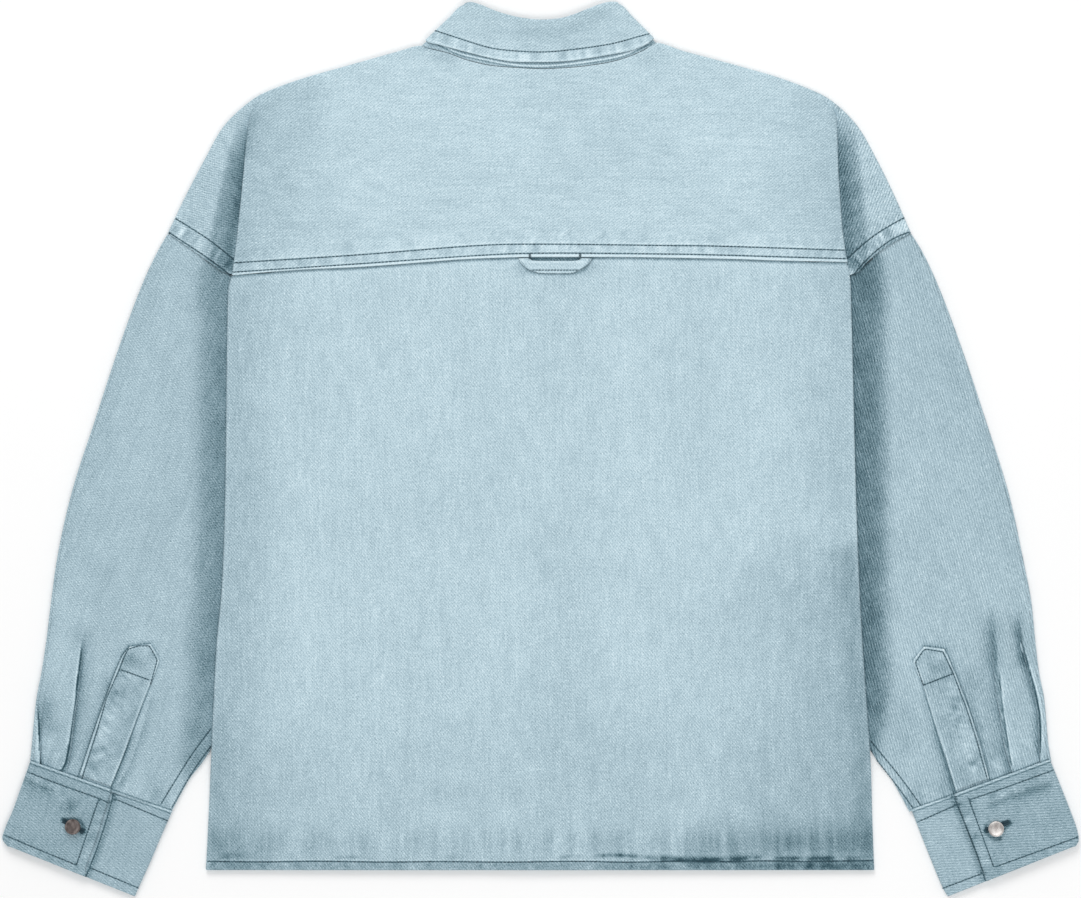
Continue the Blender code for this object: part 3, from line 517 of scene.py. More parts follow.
# the yoke's ribs on one side, neck to armhole seam, each from the lower edge round the shoulder
def yokeRibs(side):
    edge = outline(side)
    reach = np.concatenate([[0], np.cumsum([math.dist(a, b) for a, b in zip(edge, edge[1:])])])
    tuckAt = float(np.interp(252, [point[0] for point in edge[:8]], reach[:8]))
    total = reach[-1]
    first, last = 6, 13
    tops = [blend(0, tuckAt, t) for t in (0, 0.16, 0.34, 0.52, 0.7, 0.86)]
    tops += [tuckAt + k for k in range(8)]
    tops += [blend(tuckAt + 7, total, t) for t in (0.25, 0.5, 0.75, 1)]
    plan = along(edge, [t / total for t in tops])
    tangent = np.gradient(plan, axis=0)
    normal = np.stack([-tangent[:, 1], tangent[:, 0]], axis=1)
    normal /= np.linalg.norm(normal, axis=1)[:, None]
    tucks = [tuckPoints(side, share) for share in yokeRows]
    feet = [blend(108, tucks[0][0][0], t) for t in (0, 0.2, 0.4, 0.6, 0.8, 0.92)]
    arm = along(armholeEdge[side], [0.88, 0.74, 0.58, 0.4])
    armEnd = along(armholeEdge[side], [0.4 * (1 - share) for share in yokeRows])
    ribs = []
    for i, (top, outWay) in enumerate(zip(plan, normal)):
        low = read(shoulderRoll, "low", tops[i])
        high = read(shoulderRoll, "high", tops[i])
        radius = (high - low) / 2
        centre = top - outWay * (restHeight + radius)
        turnEnd = centre - outWay * shoulderTurn
        if i == 0:
            seam, way, outWay = neckSide(side)
            centre = seam - way * seamGap
            turnEnd = centre + neckReturn
        rib = []
        for row, share in enumerate(yokeRows):
            settle = ease((share - 0.6) / 0.4)
            if first <= i <= last:
                x, y, z = tucks[row][i - first]
                if share == 1:
                    (x, y), z = centre, high
            elif i < first:
                foot = np.array([feet[i], read(yokeEdge, "up", sideSign[side] * feet[i])])
                chord = blend(np.array(tucks[0][0][:2]), np.array(tucks[-1][0][:2]), share)
                x, y = blend(foot, centre, share) + (i / first) ** 2 * (np.array(tucks[row][0][:2]) - chord)
                z = blend(yokeHeight(sideSign[side] * x, y), high, settle)
            else:
                shareIn = (i - last) / (len(plan) - 1 - last)
                chord = blend(np.array(tucks[0][-1][:2]), np.array(tucks[-1][-1][:2]), share)
                bowed = np.array(tucks[row][-1][:2]) - chord
                x, y = blend(arm[i - last - 1], centre, share) + (1 - shareIn) * bowed
                if i == len(plan) - 1:
                    x, y = blend(armEnd[row], centre, share**3)
                swell = 0.9 * math.sin(math.pi * shareIn) * (1 - settle)
                z = blend(blend(tucks[row][-1][2], high, ease(shareIn)), high, settle) + swell
            rib.append((sideSign[side] * x, y, z))
        for sine, cosine in arc(45, 90, 135, 180):
            x, y = centre + outWay * radius * sine
            rib.append((sideSign[side] * x, y, low + radius + radius * cosine))
        rib.append((sideSign[side] * turnEnd[0], turnEnd[1], low))
        ribs.append(rib)
    return ribs


def yokeGrid():
    left, right = yokeRibs("left"), yokeRibs("right")
    tops = []
    for side in sides:
        stations = collarStations(side)[: backStations - 1]
        line = []
        for seam, roll, _, _ in stations:
            x, y = seam - (roll - seam) / math.dist(roll, seam) * seamGap
            line.append((sideSign[side] * x, y))
        tops = line[::-1] if side == "left" else tops + line[1:]
    ribs = left[::-1]
    for i, (x, y) in enumerate(tops):
        foot = blend(-108, 108, (i + 1) / (len(tops) + 1))
        rib = []
        for share in yokeRows:
            across, up = blend(foot, x, share), blend(read(yokeEdge, "up", foot), y, share)
            rib.append((across, up, blend(yokeHeight(across, up), 4.2, ease((share - 0.6) / 0.4))))
        rib += [rib[-1]] * 5
        ribs.append(rib)
    ribs += right
    grid = [[rib[row] for rib in ribs] for row in range(len(ribs[0]))]
    first, last = len(left) - 1, len(left) + len(tops)
    return grid, lambda row, column: row >= len(yokeRows) - 1 and first <= column < last


def panelGrid():
    turns = arc(45, 90, 135, 180, 180, 180)
    steps = (0.15, 0.5, 0.9, 1, 1, 1)

    # the upper end of a column: lapped under the yoke, but butted to it beside the tuck
    def riseAt(place, side, step=0.0):
        edge = read(yokeEdge, "up", place)
        inside = bodyEdge(side, 160) - abs(place)
        lap = blend(yokeLap, -0.5, ease((46 - inside) / 12))
        return blend(edge + lap, armholeEdge[side][-1][1] - 0.7, step)

    grid = []
    for level in panelLevels:
        middle, ends = [], {"left": [], "right": []}
        for share in panelShares:
            side = sideOf(share)
            place = share * (bodyEdge(side, 160) - restHeight - sideRoll)
            up = blend(hemUp, riseAt(place, side), level)
            out = share * (bodyEdge(side, up) - restHeight - sideRoll)
            height = backHeight(out, up)
            edge = read(yokeEdge, "up", out)
            dip = ease((26 - edge + up) / 22) * ease((bodyEdge(side, up) - abs(out) - 22) / 12)
            lapped = min(yokeHeight(out, max(up, edge)), yokeEdgeHeight(out)) - layer
            middle.append((out, up, blend(height, lapped, dip)))
        for side in sides:
            for k, (sine, cosine) in enumerate(turns):
                start = sideSign[side] * (bodyEdge(side, 160) - restHeight - sideRoll)
                seamDrop = armholeFall * max(k - 3, 0) / 2
                up = blend(hemUp, riseAt(start, side, steps[k]) - seamDrop, level)
                low = read(sideHeight, "low", up)
                out = bodyEdge(side, up) - restHeight - sideRoll
                out += sideRoll * sine
                out -= sideTurn * max(k - 3, 0) / 2
                height = low + sideRoll * (1 + cosine)
                ends[side].append((sideSign[side] * out, up, height))
        grid.append(ends["left"][::-1] + middle + ends["right"])
    return grid


# The fronts


# a grid of plan points that fills four edges, each given as a list of points
def patch(bottom, top, inner, outer):
    rows, columns = len(inner), len(bottom)
    grid = np.empty((rows, columns, 2))
    for i in range(rows):
        v = i / (rows - 1)
        for j in range(columns):
            u = j / (columns - 1)
            corners = (
                (1 - u) * (1 - v) * bottom[0] + u * (1 - v) * bottom[-1]
                + (1 - u) * v * top[0] + u * v * top[-1]
            )
            across = (1 - u) * inner[i] + u * outer[i]
            grid[i, j] = (1 - v) * bottom[j] + v * top[j] + across - corners
    return grid


# a front, from its lapped centre edge to the side seam, the armhole, the shoulder and the neck
def frontGrid(side):
    sign = sideSign[side]
    ribs = yokeRibs(side)
    seamTop = armholeEdge[side][-1][1] - 0.7 - armholeFall
    seamUps = [blend(hemUp, seamTop, level) for level in panelLevels]
    seam = [(bodyEdge(side, up) - restHeight - sideRoll - sideTurn - seamGap - 0.1, up) for up in seamUps]
    shoulder = []
    for i in (0, 1, 2, 4, 6, 13, 14, 15, 16, 17):
        end, before = np.array(ribs[i][-1][:2]), np.array(ribs[i][-2][:2])
        x, y = end + (end - before) / math.dist(end, before) * (seamGap + 0.2)
        shoulder.append((sign * x, y))
    tip, start = sleeveEnds(side, 0)
    way = (start - tip) / math.dist(start, tip)
    clear = np.array([way[1], -way[0]]) * (seamGap + 0.2)
    armhole = [tip + way * (tip[0] - out) / -way[0] + clear for out in (249.5, 262, 284, 305)]
    outer = [*seam, *armhole, shoulder[-1]]
    neck = []
    for edge, roll, _, _ in collarStations(side)[:-8:-1]:
        neck.append(edge - (roll - edge) / math.dist(roll, edge) * (seamGap + 0.2))
    corner = (-frontLap, neck[0][1])
    top = [corner, *neck, *shoulder]
    innerUps = [*seamUps, *(blend(seamUps[-1], corner[1], t) for t in (0.1, 0.3, 0.5, 0.75, 1))]
    inner = [(-frontLap, up) for up in innerUps]
    bottom = [inner[0], (0, hemUp)] + [(blend(19, seam[0][0], t), hemUp) for t in shares(len(top) - 2)]
    plan = patch(*(np.array(line, float) for line in (bottom, top, inner, outer)))
    return [[(sign * x, y, frontHeight(sign * x, y, side == "left")) for x, y in row] for row in plan]


# The sleeves


# a sleeve's outer and inner edge at one share of its length
def sleeveEnds(side, share):
    start, end = armholeEdge[side][0][1] - 0.5, -281
    up = blend(start, end, share)
    outer = np.array([read(sleeveSide, side, up), up])
    inner = along(underarm, [share])[0]
    return outer, inner


# one ring of a sleeve: the upper layer with its pleats, the inner fold, the lower layer, the outer fold
def ring(side, share, flap=0.0):
    outer, inner = sleeveEnds(side, share)
    length = math.dist(outer, inner)
    way = (inner - outer) / length
    lift = np.array([-way[1], way[0]]) * -flap
    edge = read(sleeveRise, "edge", share)
    fold = read(sleeveRise, "inner", share)
    first, last = restHeight + edge, length - restHeight - fold
    marks = [(first, 0.0)]
    ends = []
    for pleat in pleats[side]:
        angle = read(pleat, "angle", outer[1])
        at = read(pleat, "at", outer[1]) - tuckLead(angle)
        points = tuck(angle, read(pleat, "straight", outer[1]))
        ends.append((at + points[-1][0], points[-1][1]))
        if len(ends) == 2:
            begin, fallen = ends[0]
            for t in (0.35, 0.7):
                marks.append((blend(begin, at, t), fallen * (1 - ease(t / 0.8))))
        marks += [(at + run, drop) for run, drop in points]
    begin, fallen = ends[1]
    for t in (0.12, 0.28, 0.46, 0.66, 0.84, 1):
        distance = blend(begin, last, t)
        marks.append((distance, fallen * (1 - ease((distance - begin) / 30))))
    points = []
    for distance, fallen in marks:
        x, y = outer + way * distance + lift
        height = sleeveHeight(side, share, x, y)
        height = blend(restHeight + 2 * edge, height, ease((distance - first) / 14) if share < 0.9 else 1)
        height = blend(restHeight + 2 * fold, height, ease((last - distance) / 30))
        points.append((x, y, height - fallen))
    for sine, cosine in arc(60, 120, 180):
        x, y = inner - way * (restHeight + fold - fold * sine) + lift
        points.append((x, y, restHeight + fold + fold * cosine))
    for t in (0.25, 0.5, 0.75):
        x, y = outer + way * blend(last, first, t) + lift
        points.append((x, y, restHeight))
    for sine, cosine in arc(180, 135, 90, 45):
        x, y = outer + way * (restHeight + edge - edge * sine) + lift
        points.append((x, y, restHeight + edge + edge * cosine))
    return onSide(side, [*points, points[0]])


# the end of a sleeve, which runs on into the cuff
def tuckedEnd(side, last, before):
    end = []
    outer, inner = sleeveEnds(side, 1)
    length = math.dist(outer, inner)
    lap = read(cuffEnds[side], "lap", 0) * length
    for (x, y, z), (x1, y1, _) in zip(last, before):
        step = math.hypot(x - x1, y - y1) or 1
        if z > 2.2:
            distance = math.dist((abs(x), y), outer)
            level = blend(cuffLevels["over"], cuffLevels["middle"], ease((distance - lap) / 4 + 0.5))
            z = blend(z, level, 0.9)
        end.append((x + (x - x1) / step * 3, y + (y - y1) / step * 3, z))
    return end


def moveRow(grid, row, toward, distance):
    for k, point in enumerate(grid[row]):
        way = np.array(grid[toward][k]) - np.array(point)
        way[2] = 0
        grid[row][k] = tuple(np.array(point) + way / np.linalg.norm(way) * distance)


def sleeveGrid(side):
    stations = (0, 0.03, 0.09, 0.2, 0.35, 0.5, 0.62, 0.7, 0.77, 0.83, 0.88, 0.92, 0.96, 1)
    grid = [ring(side, 0, sleeveFlap)] + [ring(side, share) for share in stations]
    grid = [list(row) for row in grid]
    moveRow(grid, -1, -2, edgeRise[side])
    grid.append(tuckedEnd(side, grid[-1], grid[-2]))
    edge = armholeEdge[side][0][0]

    def leftOut(row, column):
        if row > 0:
            return False
        outs = [abs(grid[0][k][0]) for k in (column, column + 1)]
        upper = column < 22
        return not (upper and min(outs) > 281 and max(outs) < edge - 4.5)

    return grid, leftOut


# a cuff: a band that starts under its own lap, runs round and ends on top of it
def cuffGrid(side):
    under, middle, over = cuffLevels["under"], cuffLevels["middle"], cuffLevels["over"]
    half = cuffWall / 2
    grid = []
    for share in (0, 0.1, 0.35, 0.6, 0.82, 0.94, 1):
        outer, inner = (
            np.array([read(cuffEnds[side], f"{end}_{way}", share) for way in ("out", "up")])
            for end in ("outer", "inner")
        )
        length = math.dist(outer, inner)
        way = (inner - outer) / length
        lap = read(cuffEnds[side], "lap", share) * length
        small, large = (middle - under) / 2, (over - under) / 2
        near, far = half + large, length - half - small
        line = [(blend(lap - cuffUnderlap * length, far, t), middle) for t in (0, 0.25, 0.5, 0.75, 1)]
        for sine, cosine in arc(45, 90, 135, 168, 180):
            line.append((far + small * sine, under + small + small * cosine))
        line += [(blend(far, near, t), under) for t in (0.25, 0.5, 0.75)]
        for sine, cosine in arc(180, 166, 130, 90, 50, 20, 0):
            line.append((near - large * sine, under + large + large * cosine))
        line += [(blend(near, lap, t), over) for t in (0.25, 0.5, 0.75, 1)]
        grid.append(onSide(side, [(*(outer + way * distance), z) for distance, z in line]))
    moveRow(grid, 0, 1, -edgeRise[side])
    return grid


# a pointed strip that lies on the sleeve's upper layer
def placketGrid(side):
    rows = placketEdges[side]
    grid = []
    for share in (0, 0.1, 0.2, 0.35, 0.5, 0.65, 0.78, 0.88, 0.95, 1):
        line = []
        for t in (0, 0.33, 0.67, 1):
            out = blend(read(rows, "open_out", share), read(rows, "closed_out", share), t)
            up = blend(read(rows, "open_up", share), read(rows, "closed_up", share), t)
            line.append((sideSign[side] * out, up, placketHeight(side, out, up)))
        grid.append(line)
    moveRow(grid, 0, 1, edgeRise[side])
    return grid


# one layer above the sleeve, as the sleeve recovers from its inner pleat
def placketHeight(side, out, up):
    share = blend(0.75, 1, min(max((-up - 165) / 140, 0), 1))
    return sleeveHeight(side, share, out, up) + layer


# The collar


# stations from the centre back round the side of the neck to the centre front: each has the
# seam, the roll and the leaf in plan, and the way that faces out of the ring
def collarStations(side):
    steps = (1, 0.8, 0.6, 0.4, 0.22, 0.09, 0)
    back = zip(along(backNeck[side], steps), along(backRoll[side], steps), along(backLeaf[side], steps))
    found = [(seam, roll, leaf, (0, 0, 1)) for seam, roll, leaf in back]
    seam, roll, leaf, _ = found[-1]
    sideWay = (roll - seam) / math.dist(roll, seam)
    face = np.array([sideWay[1], -sideWay[0]])
    for i, (a, b, c, _) in enumerate(found):
        pull = face * collarMiddle * ease((i - 2) / 4)
        found[i] = (a - pull, b - pull, c - pull, (0, 0, 1))
    for sine, cosine in arc(45, 90, 135, 180):
        outWay = (face[0] * sine, face[1] * sine, cosine)
        found.append((*(point - face * collarMiddle for point in (seam, roll, leaf)), outWay))
    steps = (0.14, 0.3, 0.46, 0.62, 0.78, 0.885, 1)
    frontLine = zip(along(frontNeck, steps), along(frontRoll, steps), along(frontLeaf, steps))
    found += [(a, b, c, (0, 0, -1)) for a, b, c in frontLine]
    return found


# the way that the roll faces at a station: across its own line, and up the stand at the side
def rollWay(stations, i):
    seam, roll, _, _ = stations[i]
    way = (roll - seam) / math.dist(roll, seam)
    if i >= backStations:
        return way
    if i == 0:
        return np.array((0.0, 1.0))
    ahead = stations[min(i + 1, backStations - 1)][1] - stations[i - 1][1]
    across = np.array((-ahead[1], ahead[0])) / math.hypot(*ahead)
    if i == backStations - 1:
        across = (across + way) / math.hypot(*(across + way))
    return across


def collarLine(station, offset, plan, reach, lift=0.0):
    x, y = plan
    outWay = station[3]
    return (x + outWay[0] * offset + reach[0], y + outWay[1] * offset + reach[1],
            collarMiddle + outWay[2] * offset + lift)


# the stand from the neck seam to the roll, and the fall from inside the roll to its leaf edge
def collarGrids():
    stand, fall = [], []
    for side in sides:
        standLines, fallLines = [], []
        stations = collarStations(side)
        for i, station in enumerate(stations):
            seam, roll, leaf, _ = station
            way = (roll - seam) / math.dist(roll, seam)
            over = rollWay(stations, i)
            crest = roll - over * (restHeight + tuckRadius)
            late = ease((i - (len(stations) - 5)) / 4)
            lift = late * (0.5 if side == "left" else 2.0)
            lower = seam + way * seamGap / 2
            line = [collarLine(station, standOff, blend(lower, crest, t), (0, 0), lift)
                    for t in (0, 0.43, 0.86)]
            standLines.append(onSide(side, line))
            line = [collarLine(station, fallOff, blend(leaf, crest, t), (0, 0)) for t in (0, 0.3, 0.65, 1)]
            for sine, cosine in arc(60, 120, 180):
                offset = standOff + tuckRadius * (1 + cosine)
                line.append(collarLine(station, offset, crest, over * tuckRadius * sine))
            inside = crest - (crest - lower) * 0.14 + way * (seamGap + 0.1)
            line.append(collarLine(station, standOff, inside, (0, 0)))
            fallLines.append(onSide(side, line))
        x, y, z = zip(*standLines[-1])
        standLines.append([(-sideSign[side] * 14, y[k], z[k]) for k in range(len(x))])
        if side == "left":
            standLines, fallLines = standLines[:0:-1], fallLines[:0:-1]
        stand += standLines
        fall += fallLines
    return stand, fall


# a flat strip on the back panel, with both ends at the yoke's edge
def loopGrid():
    grid = []
    for i in range(len(loopOutline["lower_up"])):
        lower = np.array([loopOutline["lower_across"][i], loopOutline["lower_up"][i]])
        upper = np.array([loopOutline["upper_across"][i], loopOutline["upper_up"][i] - seamGap])
        line = []
        for t in (0, 0.5, 1):
            x, y = blend(lower, upper, t)
            line.append((x, y, yokeEdgeHeight(x) + 0.15))
        grid.append(line)
    return grid


# Making cloth from a grid of points

farAway = 50.0
weldDistance = 0.002
underSpacing = 7.0
crispWidth = 3.2
weaveScale = 0.01
wearScale = 10
# what stirs the numbers that only look random
stir = {"whole": 12.9898, "seed": 78.233, "spread": 43758.5453, "row": 31.7}


# points on smooth lines through the rows of an array, with no overshoot, cuts[k] of them from row k on
def smoothRows(points, cuts):
    points = np.asarray(points, float)
    step = np.linalg.norm(np.diff(points, axis=0), axis=2)
    step = np.maximum(step, 1e-5)[..., None]
    rise = np.diff(points, axis=0) / step
    same = rise[:-1] * rise[1:] > 0
    middle = np.where(same, 2 * rise[:-1] * rise[1:] / np.where(same, rise[:-1] + rise[1:], 1), 0)
    slope = np.concatenate([rise[:1], middle, rise[-1:]])
    found = []
    for k, count in enumerate(cuts):
        for t in np.arange(count) / count:
            found.append(
                points[k] * (1 + 2 * t) * (1 - t) ** 2
                + points[k + 1] * t * t * (3 - 2 * t)
                + step[k] * (slope[k] * t * (1 - t) ** 2 - slope[k + 1] * t * t * (1 - t))
            )
    return np.stack([*found, points[-1]])


# 1 where a grid's faces point up on its upper side, -1 where they point down there
def upSense(facing, height):
    if abs(facing.mean()) > 0.5 * np.abs(facing).mean():
        return np.sign(facing.mean())
    return np.sign((facing * (height - height.mean())).sum())


# how many pieces each step between rows is cut into, for a spacing in mm: finer gives some steps
# their own, and a step that lies wholly underneath is coarse
def cutCounts(points, spacing, finer=None):
    step = np.linalg.norm(np.diff(points, axis=0), axis=2).max(axis=1)
    facing = np.cross(np.diff(points, axis=1)[:-1], np.diff(points, axis=0)[:, :-1])[..., 2]
    under = (facing * upSense(facing, points[:-1, :-1, 2]) < 0).all(axis=1)
    finer = {k % len(step): size for k, size in (finer or {}).items()}
    sizes = [finer.get(k, max(spacing, underSpacing) if under[k] else spacing) for k in range(len(step))]
    return [max(1, math.ceil(step[k] / size - 0.01)) for k, size in enumerate(sizes)]


# a number between 0 and 1 for each whole number, always the same
def chance(whole, seed):
    turned = np.sin(np.asarray(whole, float) * stir["whole"] + seed * stir["seed"]) * stir["spread"]
    return turned - np.floor(turned)


# an uneven wave from -1 to 1 along a line
def ripple(place, size, seed):
    place = np.asarray(place, float) / size
    whole = np.floor(place)
    t = place - whole
    t = t * t * (3 - 2 * t)
    return 2 * (chance(whole, seed) * (1 - t) + chance(whole + 1, seed) * t) - 1


# soft uneven ground from -1 to 1 over a plan
def cloudy(x, y, size, seed):
    x, y = np.asarray(x, float) / size, np.asarray(y, float) / size
    row = np.floor(y)
    t = y - row
    t = t * t * (3 - 2 * t)
    lower = ripple(x + row * stir["row"], 1.0, seed)
    upper = ripple(x + (row + 1) * stir["row"], 1.0, seed)
    return lower * (1 - t) + upper * t


# a smooth line through some plan points, as many short steps
def smoothLine(line, step=4.0):
    line = np.array(line, float)
    if len(line) < 3:
        return line
    length = np.linalg.norm(np.diff(line, axis=0), axis=1).sum()
    return along(line, np.linspace(0, 1, max(3, int(length / step))))


# distance from a line, positive on its left, the place along it and its whole length
def fromLine(plan, line):
    nearest = np.full(len(plan), 1e9)
    side, place = np.ones(len(plan)), np.zeros(len(plan))
    start = 0.0
    for a, b in zip(line, line[1:]):
        way = b - a
        length = math.hypot(*way)
        off = plan - a
        t = np.clip(off @ way / length**2, 0, 1)
        off = off - t[:, None] * way
        gap = np.hypot(off[:, 0], off[:, 1])
        closer = gap < nearest
        nearest = np.where(closer, gap, nearest)
        side = np.where(closer, np.where(way[0] * off[:, 1] - way[1] * off[:, 0] < 0, -1.0, 1.0), side)
        place = np.where(closer, start + t * length, place)
        start += length
    return nearest * side, place, start


def easeAll(t):
    t = np.clip(t, 0, 1)
    return t * t * (3 - 2 * t)


class Cloth:
    # a fine grid of points of one panel, in mm, with the colour shift of each point, which is the cloth's own
    # wash in places and painted shade and highlight in others, and its wear
    def __init__(self, grid, spacing, finerRows=None, finerColumns=None, leftOut=None):
        coarse = np.array(grid, float)
        across = coarse.transpose(1, 0, 2)
        self.rowCuts = cutCounts(coarse, spacing[0], finerRows)
        self.columnCuts = cutCounts(across, spacing[1], finerColumns)
        fine = smoothRows(coarse, self.rowCuts)
        self.points = smoothRows(fine.transpose(1, 0, 2), self.columnCuts).transpose(1, 0, 2)
        self.rowOf = np.repeat(np.arange(len(self.rowCuts)), self.rowCuts)
        self.columnOf = np.repeat(np.arange(len(self.columnCuts)), self.columnCuts)
        self.kept = np.ones((len(self.rowOf), len(self.columnOf)), bool)
        if leftOut:
            for i in range(len(self.rowCuts)):
                for j in range(len(self.columnCuts)):
                    if leftOut(i, j):
                        self.kept[np.ix_(self.rowOf == i, self.columnOf == j)] = False
        shape = self.points.shape[:2]
        self.dye, self.wear, self.lift, self.grain = (np.zeros(shape) for _ in range(4))
        self.groove, self.ridge, self.gap = np.zeros(shape), np.zeros(shape), np.full(shape, farAway)
        self.coarseness, self.lined = np.ones(shape), np.ones(shape)
        facing = self.normals()[..., 2]
        if upSense(facing, self.points[..., 2]) < 0:
            self.points = self.points[:, ::-1]
            self.kept = self.kept[:, ::-1]
            self.columnOf = self.columnOf[::-1]
            facing = -facing[:, ::-1]
        self.upper = easeAll(facing * 2.5)
        self.zone = None
        self.sharp = False

    # unit normals of the grid
    def normals(self):
        facing = np.cross(np.gradient(self.points, axis=1), np.gradient(self.points, axis=0))
        return facing / np.maximum(np.linalg.norm(facing, axis=2), 1e-9)[..., None]

    # how strongly a stroke along a line is felt at each point, with its side, distance and place along
    def felt(self, line, width, side=0, ends=(0, 0), power=2):
        line = np.array(line, float) if self.sharp else smoothLine(line)
        plan = self.points[..., :2].reshape(-1, 2)
        reach = 3 * width + 1
        low, high = line.min(axis=0) - reach, line.max(axis=0) + reach
        inside = np.nonzero(((plan > low) & (plan < high)).all(axis=1))[0]
        force, gap, place = (np.zeros(len(plan)) for _ in range(3))
        if len(inside):
            near, at, length = fromLine(plan[inside], line)
            strong = np.exp(-(np.abs(near / width) ** power))
            if side:
                strong = np.where(near * side < 0, 0, strong)
            if ends[0]:
                strong = strong * easeAll(at / ends[0])
            else:
                strong = strong * ((at > 0) | (np.abs(near) < width))
            if ends[1]:
                strong = strong * easeAll((length - at) / ends[1])
            force[inside], gap[inside], place[inside] = strong, near, at
        shape = self.points.shape[:2]
        force = force.reshape(shape) * self.upper
        if self.zone is not None:
            force = force * self.zone
        return force, gap.reshape(shape), place.reshape(shape)

    # a trough or ridge along a line: its rise in mm, and how far it lightens or darkens the colour, which
    # paints shade and highlight along creases and edges as well as the cloth's own wash
    def stroke(self, line, width, rise=0.0, dye=0.0, side=0, ends=(0, 0), power=2):
        force, _, _ = self.felt(line, width, side, ends, power)
        self.lift += force * rise
        self.dye += force * dye

    # uneven small puckers along a line, from one distance to another on its left
    def pucker(self, line, start, end, rise, size, seed, slant=0.0, dye=0.06):
        middle, half = (start + end) / 2, abs(end - start) / 2
        _, gap, place = self.felt(line, max(abs(start), abs(end)) + 2)
        force = np.exp(-(np.abs((gap - middle) / half) ** 4)) * (place > 0) * self.upper
        if self.zone is not None:
            force = force * self.zone
        wave = ripple(place + slant * gap, size, seed) * 0.7
        wave += ripple(place - slant * gap, size * 0.45, seed + 3) * 0.5
        self.lift += force * wave * rise
        self.wear += force * wave * dye * wearScale

    # a thin crisp line of painted shade along its middle, with a painted highlight beside it: on its left, or
    # right for side -1
    def crisp(self, line, dark=0.0, light=0.0, side=1, ends=(0, 0)):
        force, gap, _ = self.felt(line, crispWidth, 0, ends, power=4)
        nearer = (force > 0.01) & (np.abs(gap) < np.abs(self.gap))
        self.gap = np.where(nearer, gap * side, self.gap)
        self.groove = np.where(nearer, force * dark, self.groove)
        self.ridge = np.where(nearer, force * light, self.ridge)

    def build(self, name, finish, node, slot="body_denim", wall=shellWall):
        points = self.points + self.normals() * self.lift[..., None]
        rows, columns = points.shape[:2]
        index = np.arange(rows * columns).reshape(rows, columns)
        quads = np.stack([index[:-1, :-1], index[:-1, 1:], index[1:, 1:], index[1:, :-1]], axis=2)[self.kept]
        mesh = bpy.data.meshes.new(name)
        flat = points.reshape(-1, 3)
        mesh.from_pydata((flat * mm).tolist(), [], quads.tolist())
        turn = np.radians(self.grain.ravel())
        x, y = flat[:, 0], flat[:, 1]
        plan = np.stack([x * np.cos(turn) + y * np.sin(turn), y * np.cos(turn) - x * np.sin(turn)], axis=1)
        plan = plan / self.coarseness.reshape(-1, 1)
        corners = np.zeros(len(mesh.loops), np.int32)
        mesh.loops.foreach_get("vertex_index", corners)
        weave = mesh.uv_layers.new(name="cloth")
        weave.data.foreach_set("uv", (plan[corners] * weaveScale).ravel())
        for word in ("dye", "wear", "gap", "groove", "ridge", "lined"):
            values = getattr(self, word).ravel()
            mesh.attributes.new(word, "FLOAT", "POINT").data.foreach_set("value", values)
        piece = self.piece = bpy.data.objects.new(name, mesh)
        bpy.context.scene.collection.objects.link(piece)
        bpy.ops.object.select_all(action="DESELECT")
        piece.select_set(True)
        bpy.context.view_layer.objects.active = piece
        bpy.ops.object.mode_set(mode="EDIT")
        bpy.ops.mesh.select_all(action="SELECT")
        bpy.ops.mesh.remove_doubles(threshold=weldDistance * mm)
        bpy.ops.mesh.delete_loose()
        bpy.ops.object.mode_set(mode="OBJECT")
        solid = piece.modifiers.new("wall", "SOLIDIFY")
        solid.thickness = wall * mm
        solid.offset = 0
        bpy.ops.object.modifier_apply(modifier=solid.name)
        piece.data.shade_smooth()
        piece.data.materials.append(finish)
        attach(piece, "root")
        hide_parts(node)
        return piece

    # works out the size of the flat cut, in metres
    def sheet(self, rests, sewn=()):
        across, down = (np.diff(self.points, axis=axis) for axis in (1, 0))
        width = np.linalg.norm(across, axis=2).sum(axis=1).max()
        length = np.linalg.norm(down, axis=2).sum(axis=0).max()
        corners = self.points[1:, 1:] - self.points[:-1, :-1], self.points[:-1, 1:] - self.points[1:, :-1]
        area = (np.linalg.norm(np.cross(*corners), axis=2) / 2)[self.kept].sum()
        width * mm
        length * mm
        area * mm * mm


# Finishes

noiseSpread = 2.6


class Value:
    # a socket that takes part in sums, so that shader maths reads as it does on paper
    def __init__(self, finish, socket):
        self.finish, self.socket = finish, socket

    def __add__(self, other):
        return self.finish.sum("ADD", self, other)

    def __sub__(self, other):
        return self.finish.sum("SUBTRACT", self, other)

    def __rsub__(self, other):
        return self.finish.sum("SUBTRACT", other, self)

    def __mul__(self, other):
        return self.finish.sum("MULTIPLY", self, other)

    __radd__ = __add__
    __rmul__ = __mul__


